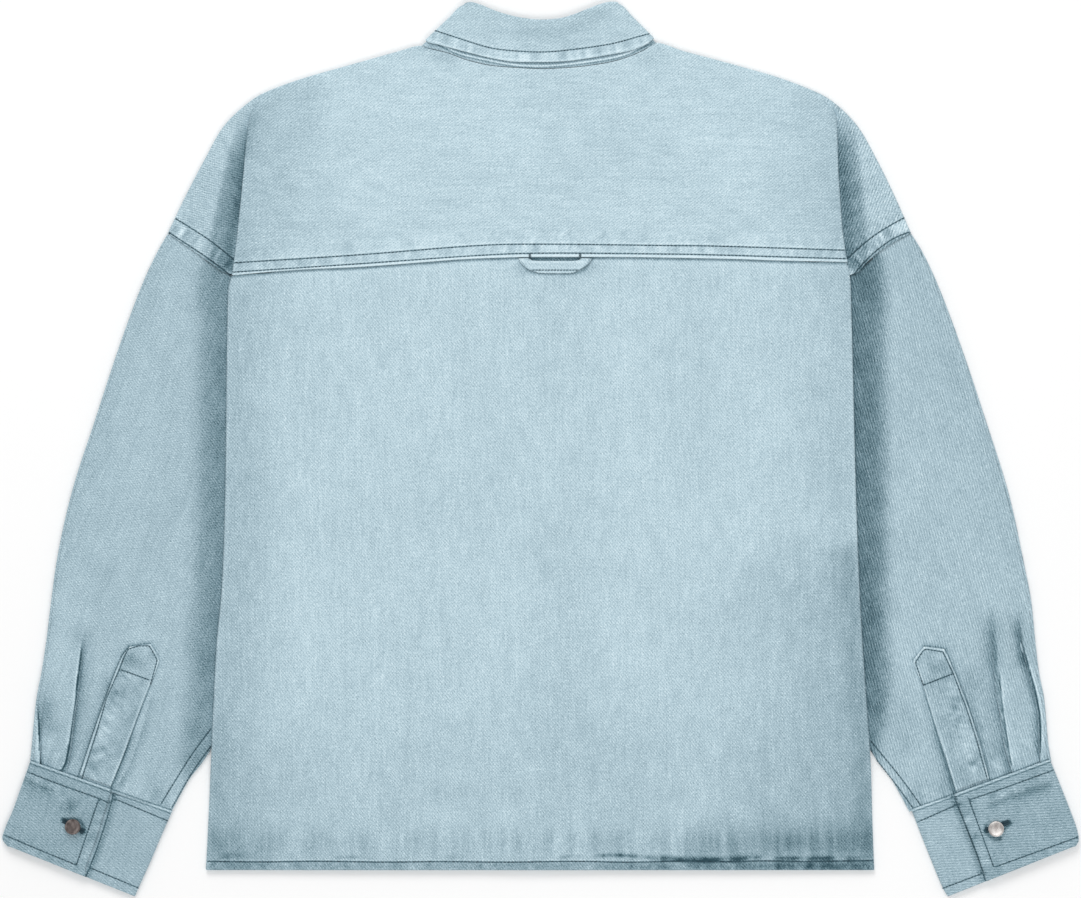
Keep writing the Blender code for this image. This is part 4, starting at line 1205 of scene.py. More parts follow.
class Finish:
    # a material whose nodes are made by name, with their settings first and then their inputs
    def __init__(self, name):
        self.material = bpy.data.materials.new(name)
        self.material.use_nodes = True
        self.tree = self.material.node_tree
        self.shader = self.tree.nodes["Principled BSDF"]

    def node(self, kind, settings=None, inputs=None):
        made = self.tree.nodes.new(kind)
        for word, value in (settings or {}).items():
            if word == "stops":
                ramp = made.color_ramp
                while len(ramp.elements) < len(value):
                    ramp.elements.new(0.5)
                for element, (place, colour) in zip(ramp.elements, value):
                    element.position = place
                    element.color = (*colour, 1)
            else:
                setattr(made, word, value)
        for word, value in (inputs or {}).items():
            self.join(made.inputs[word], value)
        return made

    def join(self, socket, value):
        if isinstance(value, Value):
            self.tree.links.new(value.socket, socket)
        else:
            socket.default_value = value

    def out(self, made, word=0):
        return Value(self, made.outputs[word])

    def sum(self, operation, first, second=0.0):
        return self.out(self.node("ShaderNodeMath", {"operation": operation}, {0: first, 1: second}))

    def attribute(self, word):
        return self.out(self.node("ShaderNodeAttribute", {"attribute_name": word}), "Fac")

    def noise(self, across, along, size, detail=2.0, seed=0.0):
        # soft noise from about -1 to 1, size in mm across and along the weave
        x, y = across * (1 / size[0]) + seed, along * (1 / size[1])
        place = self.out(self.node("ShaderNodeCombineXYZ", None, {0: x, 1: y}))
        made = self.node("ShaderNodeTexNoise", {"noise_dimensions": "2D"},
                         {"Vector": place, "Scale": 1.0, "Detail": detail, "Roughness": 0.5})
        return (self.out(made, "Fac") - 0.5) * noiseSpread

    def set(self, **values):
        for word, value in values.items():
            self.join(self.shader.inputs[word.replace("_", " ")], value)


def linear(*colour):
    return tuple(((c / 255 + 0.055) / 1.055) ** 2.4 if c > 10 else c / 255 / 12.92 for c in colour)


# the washed indigo, from the darkest thread to bleached cotton
indigo = (
    (0.0, linear(42, 73, 84)),
    (0.2, linear(81, 110, 121)),
    (0.4, linear(119, 147, 158)),
    (0.55, linear(146, 171, 182)),
    (0.7, linear(167, 191, 202)),
    (0.8, linear(186, 210, 220)),
    (0.9, linear(205, 227, 236)),
    (1.0, linear(224, 242, 249)),
)


# soft fields of the cloth: size across and along the warp in mm, detail, and a shift of the seed
denimFields = {
    "jitter": (7, 7, 2, 0),
    "patchy": (5, 5, 2, 2.3),
    "grainy": (0.8, 0.8, 1, 1.7),
    "uneven": (1.6, 2.6, 1, 6.6),
    "slub": (1.3, 20, 2, 3.1),
    "pick": (16, 1.5, 2, 7.7),
    "mottle": (11, 20, 3, 5.3),
    "streak": (4, 130, 2, 8.4),
    "cloud": (60, 100, 2, 9.2),
}
# warp is the way of the warp and twill that of its lines, in degrees over the plan; step in mm
denimKinds = table(
    "name tone warp twill step lined hatched crossed seed",
    ("yoke", 0.8, 90, 38, 2.15, 0.46, 0.3, 0.15, 11),
    ("body", 0.79, 0, 130, 2.15, 0.5, 0.32, 0.15, 0),
    ("left sleeve", 0.695, -22, 128, 2.15, 0.56, 0.4, 0.4, 23),
    ("right sleeve", 0.7, 17, 106, 2.3, 0.8, 0, 0, 29),
    ("left cuff", 0.62, -20, 140, 2.2, 0.62, 0.36, 0.4, 37),
    ("right cuff", 0.65, 20, 3, 2.4, 0.8, 0, 0, 38),
    ("collar", 0.77, 90, 36, 2.15, 0.5, 0.3, 0.2, 41),
    ("front", 0.76, 0, 50, 2.1, 0.3, 0, 0.3, 43),
)
warps = dict(zip(denimKinds["name"], denimKinds["warp"]))
# how much of each goes into the weave, the wash and the relief, and the painted shade and painted highlight
# of a crisp line, in mm
weaveMix = {"fibre": 0.65, "grainy": 1.1, "slub": 0.36, "pick": 0.18}
washMix = {"mottle": 0.04, "on darker": 0.14, "cloud": 0.032, "streak": 0.02}
reliefMix = {"fibre": 0.5, "grainy": 0.3, "slub": 0.25, "seam": 4}
seamLines = {"narrow": 1.3, "light at": 1.7}


def denimFinish(name, tone, warp, twill, step, lined, hatched, crossed, seed):
    cloth = Finish(f"{name} denim")
    place = cloth.node("ShaderNodeUVMap", {"uv_map": "cloth"})
    parts = cloth.node("ShaderNodeSeparateXYZ", None, {0: cloth.out(place)})
    across, along = (cloth.out(parts, axis) * (1 / weaveScale) for axis in (0, 1))
    field = {
        word: cloth.noise(across, along, (wide, long), detail, seed + shift)
        for word, (wide, long, detail, shift) in denimFields.items()
    }
    dye, wear = cloth.attribute("dye"), cloth.attribute("wear")

    # the twill's lines, the weaker ones that cross them, and the single threads
    turn = math.radians(twill - warp)
    wave = 2 * math.pi / step
    down = along * math.cos(turn) - across * math.sin(turn)
    run = across * math.cos(turn) + along * math.sin(turn)
    strength = 0.7 + field["patchy"] * 0.5 + field["uneven"] * 1.4
    lines = cloth.sum("SINE", down * wave + field["jitter"] * 1.5) * strength
    lines = lines * (cloth.attribute("lined") * lined)
    if hatched:
        other = along * math.cos(turn) + across * math.sin(turn)
        strength = 0.6 + field["jitter"] * 0.6 + field["uneven"] * 1.2
        lines = lines + cloth.sum("SINE", other * wave + field["patchy"] * 1.5) * strength * hatched
    fibre = cloth.noise(down, run, (0.85, 3.2), 1, seed + 4.9)
    cross = cloth.noise(run, down, (0.9, 2.4), 1, seed + 6.1)
    weave = lines + fibre * weaveMix["fibre"] + cross * crossed
    for word in ("grainy", "slub", "pick"):
        weave = weave + field[word] * weaveMix[word]

    # painted shade along a seam, fold or edge, and the painted highlight beside it
    gap = cloth.attribute("gap")
    beside = gap - seamLines["light at"]
    valley = cloth.sum("MAXIMUM", 1 - gap * gap * seamLines["narrow"]) * cloth.attribute("groove")
    crest = cloth.sum("MAXIMUM", 1 - beside * beside) * cloth.attribute("ridge")

    # the weave shows more on darker cloth
    shown = 0.15 - cloth.sum("MAXIMUM", dye, -0.14) * 0.3
    worn = field["mottle"] * (washMix["mottle"] - dye * washMix["on darker"])
    worn = worn + field["cloud"] * washMix["cloud"] + field["streak"] * washMix["streak"]
    # the tone takes the painted shade and highlight of the strokes and crisp lines along with the cloth's own
    # wash
    tones = dye + tone + weave * shown + worn + wear * (1 / wearScale) + valley + crest
    ramp = cloth.node("ShaderNodeValToRGB", {"stops": indigo}, {0: tones})
    rise = lines + fibre * reliefMix["fibre"]
    for word in ("grainy", "slub"):
        rise = rise + field[word] * reliefMix[word]
    rise = rise + valley * reliefMix["seam"] + crest * reliefMix["seam"]
    bump = cloth.node("ShaderNodeBump", None, {"Height": rise, "Strength": 0.35, "Distance": 0.0003})
    cloth.set(Base_Color=cloth.out(ramp), Roughness=0.9 - wear * 0.05, Normal=cloth.out(bump))
    cloth.set(Specular_IOR_Level=0.25, Sheen_Weight=0.08, Sheen_Roughness=0.6)
    return cloth.material


denims = {row[0]: denimFinish(*row) for row in zip(*denimKinds.values())}


# Sewing


# stitches, in mm: what lies between two, how far they stand off the cloth, half their breadth, the most that
# the cloth may step under one, and their blunt ends, flatness and bow
thread = {"gap": 0.35, "proud": 0.14, "half": 0.5, "step": 1.2, "blunt": 0.55, "flat": 0.8, "bow": 0.22}


class Sewing:
    # small bowed stitches laid on finished cloth along lines, gathered into one piece
    def __init__(self, name, cloths):
        self.name = name
        points, faces = [], []
        for cloth in cloths:
            start = len(points)
            points += [vert.co.copy() for vert in cloth.data.vertices]
            faces += [[start + k for k in face.vertices] for face in cloth.data.polygons]
        self.ground = BVHTree.FromPolygons(points, faces)
        self.stitches = []

    def height(self, x, y):
        hit = self.ground.ray_cast(Vector((x * mm, y * mm, 0.05)), Vector((0, 0, -1)))[0]
        return hit[2] / mm if hit else None

    # a row of stitches, each of them long mm
    def row(self, line, seed, long=3.0, sharp=False):
        line = np.array(line, float) if sharp else smoothLine(line, 1.5)
        step = np.linalg.norm(np.diff(line, axis=0), axis=1)
        reach = np.concatenate([[0], np.cumsum(step)])
        count = max(1, round(reach[-1] / (long + thread["gap"])))
        pitch = reach[-1] / count
        half = long / 2 * pitch / (long + thread["gap"])
        for k in range(count):
            middle = (k + 0.5) * pitch
            both = (middle - half, middle + half)
            start, end = ([np.interp(at, reach, line[:, axis]) for axis in (0, 1)] for at in both)
            self.stitch(start, end, thread["half"], thread["proud"], chance(k, seed))

    def stitch(self, start, end, thick, proud, tone):
        heights = [self.height(*start), self.height(*end)]
        known = [h for h in heights if h is not None]
        if not known:
            return
        heights = [known[0] if h is None else h for h in heights]
        if abs(heights[0] - heights[1]) > thread["step"]:
            heights = [max(heights)] * 2
        self.stitches.append((*start, heights[0] + proud, *end, heights[1] + proud, thick, tone))

    def build(self, finish, slot="cuff_denim"):
        bpy.ops.object.select_all(action="DESELECT")
        bpy.ops.mesh.primitive_uv_sphere_add(segments=6, ring_count=4, radius=1, location=(0, 0, 0))
        pattern = bpy.context.object
        bpy.ops.object.mode_set(mode="EDIT")
        bpy.ops.mesh.select_all(action="SELECT")
        bpy.ops.transform.rotate(value=math.pi / 2, orient_axis="Y", center_override=(0, 0, 0))
        bpy.ops.object.mode_set(mode="OBJECT")
        shape = np.array([vert.co for vert in pattern.data.vertices])
        faces = [list(face.vertices) for face in pattern.data.polygons]
        bpy.data.objects.remove(pattern, do_unlink=True)
        shape[:, 0] = np.sign(shape[:, 0]) * np.abs(shape[:, 0]) ** thread["blunt"]
        points, quads, tones = [], [], []
        for x0, y0, z0, x1, y1, z1, thick, tone in self.stitches:
            start, end = np.array([x0, y0, z0]), np.array([x1, y1, z1])
            way = end - start
            long = np.linalg.norm(way)
            way = way / long
            over = np.array([-way[1], way[0], 0]) / math.hypot(way[0], way[1])
            up = np.cross(way, over)
            raised = shape[:, 2:] * thick * thread["flat"] - thread["bow"] * shape[:, :1] ** 2
            placed = (start + end) / 2 + shape[:, :1] * way * long / 2
            placed = placed + shape[:, 1:2] * over * thick + raised * up
            quads += [[len(points) + k for k in face] for face in faces]
            points += (placed * mm).tolist()
            tones += [tone] * len(shape)
        mesh = bpy.data.meshes.new(self.name)
        mesh.from_pydata(points, [], quads)
        mesh.attributes.new("tone", "FLOAT", "POINT").data.foreach_set("value", tones)
        mesh.shade_smooth()
        mesh.materials.append(finish)
        piece = bpy.data.objects.new(self.name, mesh)
        bpy.context.scene.collection.objects.link(piece)
        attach(piece, "root")
        return piece


# the stops of a ramp from a dark tone to a pale one, both as 0 to 255
def toned(dark, pale):
    return {"stops": ((0.0, linear(*dark)), (1.0, linear(*pale)))}


# a line of the plan, moved across and up
def moved(line, across=0.0, up=0.0):
    return [(x + across, y + up) for x, y in line]


# a span beside a line, given for the left side and turned over for the right
def span(side, near, far):
    return (near, far) if side == "left" else (-far, -near)


# The yoke, with the dropped shoulders

yokeSeam = {
    "upper": [(-274.5, 167.3), (-162.3, 174.5), (-59, 182.6), (3, 184), (106.3, 182.9), (161.7, 182.2),
              (273.6, 178.6)],
    "lower": [(-276.6, 158.8), (-162.3, 166.4), (-59, 173.6), (3, 175.9), (106.3, 175.2), (161.7, 174.2),
              (274.6, 170.9)],
}
armholeSeam = {
    "left": {"upper": [(-328.5, 207.5), (-298, 188), (-276, 170.5)],
             "lower": [(-334.5, 195), (-300.5, 172.5), (-278.5, 156)]},
    "right": {"upper": [(327.8, 208.2), (307.6, 196.8), (291.9, 185.3), (276.2, 171.2)],
              "lower": [(332.3, 195.4), (316.6, 188.6), (300.9, 177.2), (289.7, 166), (279.1, 153.4)]},
}
# the yoke's darker sides, and painted shade and highlight: in the creases by the neck and by the loop, and at
# the tops of the shoulder folds
yokeWashAndShade = {
    "sides": (
        ([(-250.5, 305), (-264.9, 242), (-270.3, 168.2)], 62, -0.1, 12),
        ([(267.9, 305), (271.5, 242), (276.9, 179)], 44, -0.08, 8),
    ),
    "neck": ([(-112.8, 366.2), (-95.7, 359), (-70.5, 341)], [(114.9, 359), (98.7, 350), (86.1, 344.6)]),
    "loop creases": (
        [(-8.4, 177.2), (-7.5, 186.2), (-3, 192.5)],
        [(15.9, 188.9), (27.6, 200.6)],
        [(43.8, 187.1), (58.2, 197)],
    ),
    "fold tops": (
        ([(-253.2, 308.6), (-259.5, 292.4), (-264, 272.6), (-266.7, 254.6)], 4.5, -0.15, (10, 16)),
        ([(265.2, 306.8), (267.9, 297.8)], 4, -0.12, (6, 6)),
    ),
}
# each dropped shoulder's weave, and its painted shade in the fold, at its rim and in its corner
dropLook = {
    "left": {
        "grain": 36, "coarseness": 0.95, "lined": 1.5, "shade": -0.29, "core": -0.24, "rim": -0.16,
        "fold shadow": [(-255, 305), (-264.9, 278), (-273.9, 242), (-282.9, 201.5), (-289.2, 168.2)],
        "fold core": [(-252.3, 310.4), (-258.6, 282.5), (-266.7, 246.5), (-272.1, 201.5), (-275.7, 165.5)],
        "corner": [(-286.5, 173.6), (-277.5, 164.6)],
    },
    "right": {
        "grain": 121, "coarseness": 1.15, "lined": 1.9, "shade": -0.3, "core": -0.18, "rim": -0.3,
        "fold shadow": [(267.9, 303.2), (272.4, 278), (277.8, 242), (281.4, 201.5), (284.1, 171.8)],
        "fold core": [(266.1, 303.2), (269.7, 269), (272.4, 233), (274.2, 201.5), (276, 171.8)],
        "corner": [(289.5, 171.8), (279.6, 161)],
    },
}

print("cloth: yoke")
grid, leftOut = yokeGrid()
yoke = Cloth(grid, (3.0, 2.4), {0: 0.9, 1: 1.7}, {0: 1.3, -1: 1.3}, leftOut)
edgeLine = list(zip(yokeEdge["across"], yokeEdge["up"]))
yoke.grain[:] = warps["yoke"]
dropColumns = 4
columnAt = np.append(yoke.columnOf, yoke.columnOf[-1])
fromSide = {"left": columnAt, "right": columnAt.max() - columnAt}
onDrop = {side: np.broadcast_to(fromSide[side] <= dropColumns, yoke.upper.shape) for side in sides}
main = ~(onDrop["left"] | onDrop["right"])
yoke.zone = main
# painted highlight along the yoke's folded lower edge
yoke.stroke(moved(edgeLine, 0, 1.0), 1.2, rise=0.12, dye=0.17)
# painted shade along the seam rows, with a slight painted highlight beside them
yoke.crisp(yokeSeam["lower"], dark=-0.34, light=0.03)
yoke.crisp(yokeSeam["upper"], dark=-0.34, light=0.06)
yoke.stroke(moved(smoothLine(yokeSeam["upper"]), 0, 2.2), 1.6, rise=0.15, dye=0.03)
yoke.pucker(yokeSeam["lower"], 1, 9, 0.3, 4.5, 3.0, 0.3, dye=0.12)
yoke.pucker(yokeSeam["upper"], 1, 13, 0.22, 6, 5.0, 0.5, dye=0.06)
for line, wide, dark, narrow in yokeWashAndShade["sides"]:
    yoke.stroke(line, wide, dye=dark)
    yoke.stroke(line, narrow, dye=-0.03)
# painted shade in the creases by the neck
for line in yokeWashAndShade["neck"]:
    yoke.stroke(line, 7, rise=-0.6, dye=-0.07, ends=(8, 14))
# painted highlight on each crease by the loop, with painted shade beside it
for line in yokeWashAndShade["loop creases"]:
    yoke.stroke(line, 2.2, rise=0.45, dye=0.07, ends=(3, 7))
    yoke.stroke(moved(line, 3.5, -1), 2.4, rise=-0.4, dye=-0.07, ends=(3, 7))
for side in sides:
    yoke.zone, look, seam = onDrop[side], dropLook[side], armholeSeam[side]
    for word in ("grain", "coarseness", "lined"):
        setattr(yoke, word, np.where(yoke.zone, look[word], getattr(yoke, word)))
    yoke.dye += yoke.zone * -0.07
    # painted shadow beside each shoulder fold, with its darker core
    yoke.stroke(look["fold shadow"], 11.5, dye=look["shade"], power=6, ends=(50, 0))
    yoke.stroke(look["fold core"], 8, dye=look["core"], ends=(30, 0))
    # painted shade along the armhole seam rows
    for line in seam.values():
        yoke.stroke(line, 1.6, rise=-0.25, dye=-0.05)
        yoke.crisp(line, dark=-0.4, light=0.05)
    # painted shade along the drop's rim below the lower armhole row
    yoke.stroke(moved(seam["lower"], sideSign[side] * 1.2, -2.4), 1.9, dye=look["rim"])
    yoke.pucker(seam["lower"], *span(side, 1, 12), 0.5, 3.8, 11.0 - sideSign[side], 0.2, dye=0.24)
    # painted shade in the drop's corner
    yoke.stroke(look["corner"], 6, dye=-0.14, ends=(8, 4))
    yoke.pucker(seam["upper"], *span(side, 1, 9), 0.25, 4, 21.0 - sideSign[side], 0.4, dye=0.08)
yoke.zone = main
# painted shade at the tops of the shoulder folds
for line, wide, dark, ends in yokeWashAndShade["fold tops"]:
    yoke.stroke(line, wide, dye=dark, ends=ends)
yoke.zone = None
yokePiece = yoke.build("yokeCloth", denims["yoke"], "back_yoke")

# The back panel

print("cloth: back panel")
panel = Cloth(panelGrid(), (5.0, 3.2), {0: 1.3, -1: 0.9, -2: 1.0, -3: 1.2})
hemRow = [(-300, -371), (-250, -371.5), (-200, -370.9), (-140, -371.6), (-90, -371.2), (-30, -371.6),
          (30, -370.9), (80, -371.7), (130, -370.7), (170, -371.3), (200, -370.5), (235, -371.2),
          (270, -370.7), (300, -370.2)]
panelWash = {
    "left side": ([(-281.1, 156.5), (-282.9, -46), (-295.5, -370)], 42, -0.12),
    "right side": ([(278.7, 156.5), (281.4, -46), (294.9, -370)], 46, -0.07),
    "right edge": ([(276.9, -100), (285.9, -172), (293.1, -280), (296.7, -370)], 17, -0.15),
    "left low edge": ([(-293.7, -226), (-297.3, -316), (-300, -370)], 12, -0.04),
    "right low": ([(233.7, -136), (233.7, -226), (233.7, -343)], 62, -0.07),
    "middle low": ([(19.5, -100), (19.5, -172), (53.7, -343)], 40, -0.02),
    "low": ([(-292.8, -316), (-0.3, -316), (287.7, -316)], 75, -0.05),
    "above hem": ([(-292.8, -357.4), (-0.3, -357.4), (292.2, -357.4)], 15, -0.075),
    "hem band": ([(-292.8, -375.4), (293.1, -375.4)], 5, -0.22),
    "left corner": ([(-297.3, -361), (-256.8, -357.4)], 24, -0.08),
    "right corner": ([(143.7, -357.4), (215.7, -353.8), (293.1, -350.2)], 20, -0.14),
}
panelEdges = (
    [(-281.3, 150), (-281, 30), (-285, -100), (-294, -250), (-299, -372)],
    [(280.7, 150), (281, 30), (285, -100), (294, -250), (299, -372)],
)
hemStains = (
    ([(14.1, -366.8), (40.2, -366.4)], 1.8, -0.16),
    ([(44.7, -366.2), (71.7, -365.5), (103.2, -367.7)], 1.6, -0.34),
    ([(98.7, -368), (143.7, -369.5), (190.5, -368.9)], 2.6, -0.5),
    ([(118.5, -370), (161.7, -370.2)], 1.6, -0.2),
    ([(177.9, -367.3), (201.3, -367.5)], 2.0, -0.3),
    ([(212.1, -368.2), (239.1, -368.2)], 1.8, -0.18),
    ([(239.1, -368.6), (266.1, -367.7)], 2.0, -0.2),
    ([(199.5, -353.8), (229.2, -352), (278.7, -357.4)], 8, -0.08),
    ([(89.7, -348.4), (118.5, -348.4)], 7, -0.05),
    ([(202.2, -375.4), (233.7, -375.4), (293.1, -375.4)], 4, -0.12),
    ([(53.7, -376.3), (143.7, -376.3), (293.1, -376.3)], 4, -0.09),
    ([(206.7, -368.6), (293.1, -368.6)], 2.2, -0.16),
    ([(-292.8, -366.8), (-270.3, -365.5), (-250.5, -366.8)], 3, -0.14),
    ([(-189.3, -367.3), (-151.5, -366.9)], 1.6, -0.1),
    ([(-90.3, -367.3), (-63.3, -367.1)], 1.6, -0.08),
)
for line, width, dye in panelWash.values():
    panel.stroke(line, width, dye=dye)
# painted shadow under the yoke's folded edge
panel.stroke(moved(edgeLine, 0, -0.9), 1.3, dye=-0.36)
panel.stroke(moved(edgeLine, 0, -4), 4, dye=0.02)
for line in panelEdges:
    panel.stroke(line, 2.4, dye=0.05)
# painted shade along the hem row, with a painted highlight beside it
panel.stroke(hemRow, 1.4, rise=-0.3, dye=-0.05)
panel.crisp(hemRow, dark=-0.3, light=0.12)
panel.pucker(hemRow, -8, -1, 0.35, 3.2, 31, 1.0, dye=0.14)
panel.pucker(hemRow, 2, 30, 0.3, 4.2, 33, 0.05, dye=0.07)
panel.pucker([(-0.3, -357.4), (143.7, -357.4), (287.7, -357.4)], -12, 16, 0.5, 5, 35, 0.05, dye=0.09)
plain = panel.dye.copy()
for line, width, dye in hemStains:
    panel.stroke(line, width, dye=dye, ends=(8, 8))
x, y = panel.points[..., 0], panel.points[..., 1]
panel.dye = plain + (panel.dye - plain) * np.clip(1.05 + cloudy(x, y * 0.5, 4.5, 36) * 0.9, 0.15, 2.0)
loopShadow = [(-18.8, 172.7), (-13.8, 165.1), (-8.4, 159.2), (17.7, 157.8), (34.8, 158.7), (42.4, 165.5),
              (46.9, 172.7)]
panel.stroke(loopShadow, 1.8, dye=-0.32)
# painted shade in the slit under the loop's upper edge, and painted shadows at its ends
panel.stroke([(-8.4, 170), (37.5, 170)], 1.6, dye=-0.4, power=4)
panel.stroke([(-23.7, 168.2), (-18.3, 161), (-11.1, 156.5)], 5, dye=-0.1, ends=(4, 4))
panel.stroke([(50.1, 168.2), (44.7, 161), (37.5, 156.5)], 5, dye=-0.1, ends=(4, 4))
panelPiece = panel.build("backPanelCloth", denims["body"], "back_panel")

# The fronts, which lie under the back

cloths = {}
for side in sides:
    print("cloth: front", side)
    front = cloths["front", side] = Cloth(frontGrid(side), (7, 7))
    front.build(f"frontCloth_{side}", denims["front"], f"front_{side}")

# The sleeves

# painted shade on each sleeve beside and near the body and below the drop, partly the cloth's own darker
# wash, and darker tone along the outer edge and above the cuff
sleeveShadeAndWash = {
    "left": {
        "beside the body": ([(-272.1, 168.2), (-281.1, 134), (-282.9, -46), (-288.3, -136), (-295.5, -226),
                             (-299.1, -280)], 26, -0.24, 5),
        "near the body": ([(-275.7, 168.2), (-282.9, 134), (-283.8, -46), (-289.2, -136), (-295.5, -226)],
                          14, -0.06, 2),
        "below the drop": ([(-301.8, 162.8), (-306.3, 134)], 18, -0.06, 2),
        "outer": ([(-333.3, 183.5), (-378.3, 62), (-414.3, -46), (-441.3, -154), (-453.9, -262)],
                  8, -0.03, 2),
        "above the cuff": ([(-450.3, -289), (-396.3, -307), (-342.3, -325)], 22, -0.05, 2),
    },
    "right": {
        "beside the body": ([(275.1, 168.2), (278.7, 134), (280.5, -46), (281.4, -136), (282.3, -199),
                             (278.7, -235), (273.3, -280)], 31, -0.4, 6),
        "near the body": ([(276.9, 168.2), (280.5, 134), (282.3, -46), (289.5, -136), (294, -226)],
                          14, -0.05, 2),
        "below the drop": ([(298.5, 168.2), (300.3, 143)], 14, -0.08, 2),
        "outer": ([(334.5, 183.5), (375.9, 62), (413.7, -46), (438.9, -154), (453.3, -262)], 8, -0.02, 2),
        "above the cuff": ([(346.2, -316), (395.7, -302.5), (449.7, -284.5)], 20, -0.06, 2),
    },
}
# painted shade in the creases and beside the pleat folds, painted highlights on their crests
sleeveCreases = {
    "left": (
        # line, width, rise, painted shade and highlight, ends, side
        ([(-411.1, -164.8), (-416.1, -204.4), (-419.3, -233.2), (-426.5, -277.3), (-430.9, -287.2)],
         4.2, 0, -0.36, (30, 0), 1),
        ([(-408.9, -181), (-412.5, -217), (-416.1, -247.6), (-422.4, -278.2)], 9, 0, -0.1, (30, 0), 0),
        ([(-445.8, -217), (-443.1, -240.4), (-439.5, -263.8)], 10, 0, -0.2, (16, 14), 0),
        ([(-412.5, -164.8), (-417, -204.4), (-420.6, -233.2), (-427.8, -277.3)], 1.6, 0, 0.1, (26, 0), -1),
        ([(-410.7, -155.8), (-414.3, -190)], 7, -0.5, -0.1, (20, 14), 0),
        ([(-452.1, -226), (-451.4, -253), (-450.3, -284.5)], 2.0, 0, -0.4, (20, 0), 1),
        ([(-454.8, -226), (-453.4, -253), (-452.1, -284.5)], 1.8, 0, 0.14, (10, 0), 0),
        ([(-395.4, -197.2), (-389.1, -217), (-393.6, -244), (-403.5, -284.5)], 8, -0.5, -0.09, (20, 10), 0),
        ([(-387.3, -190), (-392.7, -204.4), (-385.5, -220.6)], 2.2, -0.3, -0.07, (6, 8), 0),
        ([(-349.5, -217), (-354.9, -240.4), (-367.5, -280), (-378.3, -299.8)], 5, -0.4, -0.14, (14, 0), 1),
        ([(-333.3, -244), (-342.3, -280), (-344.1, -316)], 12, -0.5, -0.05, (20, 10), 0),
        ([(-324.3, -172), (-315.3, -217), (-309.9, -253)], 9, 0.3, 0.04, (20, 20), 0),
        ([(-423.3, -100), (-430.5, -154), (-435.9, -217)], 10, 0.2, 0.03, (30, 30), 0),
        ([(-432.3, -226), (-439.5, -262), (-437.7, -281.8)], 6, 0.4, 0.05, (14, 6), 0),
        ([(-434.1, -257.5), (-441.3, -284.5)], 3, -0.4, -0.09, (10, 0), 0),
    ),
    "right": (
        ([(406.5, -136), (410.5, -181), (414.1, -224.2), (417.7, -251.2), (423.2, -285.4)],
         8, 0, -0.26, (50, 0), -1),
        ([(410.1, -159.4), (412.3, -186.4), (415.9, -224.2), (419.5, -251.2), (424.8, -285.4)],
         6, 0, 0.05, (30, 0), 1),
        ([(405.6, -136), (406, -172), (408.3, -208)], 9, -0.5, -0.15, (30, 20), 0),
        ([(429.9, -148.6), (434.4, -176.5), (440.7, -200.8), (446.1, -220.6), (450.1, -245.8),
          (449.7, -281.8)], 6, 0, -0.36, (26, 10), -1),
        ([(432.1, -152.2), (435.7, -176.5), (442, -200.8), (447.4, -220.6), (451.5, -245.8), (451, -281.8)],
         2.2, 0, 0.1, (22, 0), 1),
        ([(427.2, -139.6), (431.7, -172), (437.1, -200.8)], 7, -0.4, -0.17, (20, 10), 0),
        ([(384.9, -190), (391.2, -226), (400.2, -257.5), (413.7, -281.8)], 10, -0.5, -0.1, (24, 8), 0),
        ([(391.2, -217), (399.3, -251.2), (407.4, -276.4)], 3, 0.3, 0.06, (14, 6), 0),
        ([(428.1, -265.6), (424.5, -281.8)], 6, 0.4, 0.07, (6, 4), 0),
        ([(341.7, -215.2), (350.7, -239.5), (363.3, -280), (371.4, -305.2)], 3.6, -0.3, -0.1, (14, 0), -1),
        ([(330.9, -217), (328.2, -253), (323.7, -284.5)], 12, -0.4, -0.04, (20, 14), 0),
        ([(314.7, -172), (311.1, -226), (309.3, -257.5)], 8, -0.3, -0.05, (24, 10), 0),
        ([(404.7, -280), (410.5, -286.3), (419.1, -287.6)], 1.8, 0.4, 0.1, (3, 4), 0),
        ([(430.8, -260.2), (440.7, -266.5), (446.1, -273.7)], 1.8, 0.4, 0.1, (4, 4), 0),
        ([(393.9, -245.8), (399.3, -254.8)], 4, -0.4, -0.1, (6, 6), 0),
        ([(319.2, -82), (328.2, -172), (334.5, -226)], 12, 0.3, 0.02, (40, 30), 0),
    ),
}
underarmRows = {
    "left": ([(-296.5, -252), (-315.5, -278), (-341, -319)],
             [(-296.5, -267.5), (-313.5, -291.5), (-331.5, -322.5)]),
    "right": ([(297, -262.5), (323.5, -295), (342.5, -321)], [(297, -273), (320, -302), (336.5, -325)]),
}
# the sharp edges of the pleats, with painted shadow on the underarm's side and a painted highlight on the
# outer
sleeveFolds = {
    "left": (
        ([(-410.7, -166.6), (-416.1, -208), (-418.8, -235), (-425.6, -277.3), (-430.1, -289)], -0.42, 0.12),
        ([(-451.9, -226), (-450.7, -253), (-449.4, -283.6)], -0.42, 0.14),
    ),
    "right": (
        ([(411.9, -191.8), (414.6, -224.2), (418.2, -251.2), (423.6, -285.4)], -0.34, 0.12),
        ([(434.4, -181), (440.7, -202.6), (446.1, -222.4), (449.7, -245.8), (449.2, -281.8)], -0.42, 0.14),
    ),
}


# one long edge of a placket, from the cuff to its tip
def placketLine(side, edge):
    rows = placketEdges[side]
    marks = (0, 0.2, 0.45, 0.7, 0.88, 1)
    outward = [sideSign[side] * read(rows, f"{edge}_out", share) for share in marks]
    return list(zip(outward, [read(rows, f"{edge}_up", share) for share in marks]))


# a line on the first row of a grid, moved some way toward its second row
def inwardFrom(rows, columns, distance):
    line = []
    for k in columns:
        start, inner = (np.array(rows[row][k][:2]) for row in (0, 1))
        line.append(tuple(start + (inner - start) / math.dist(start, inner) * distance))
    return line


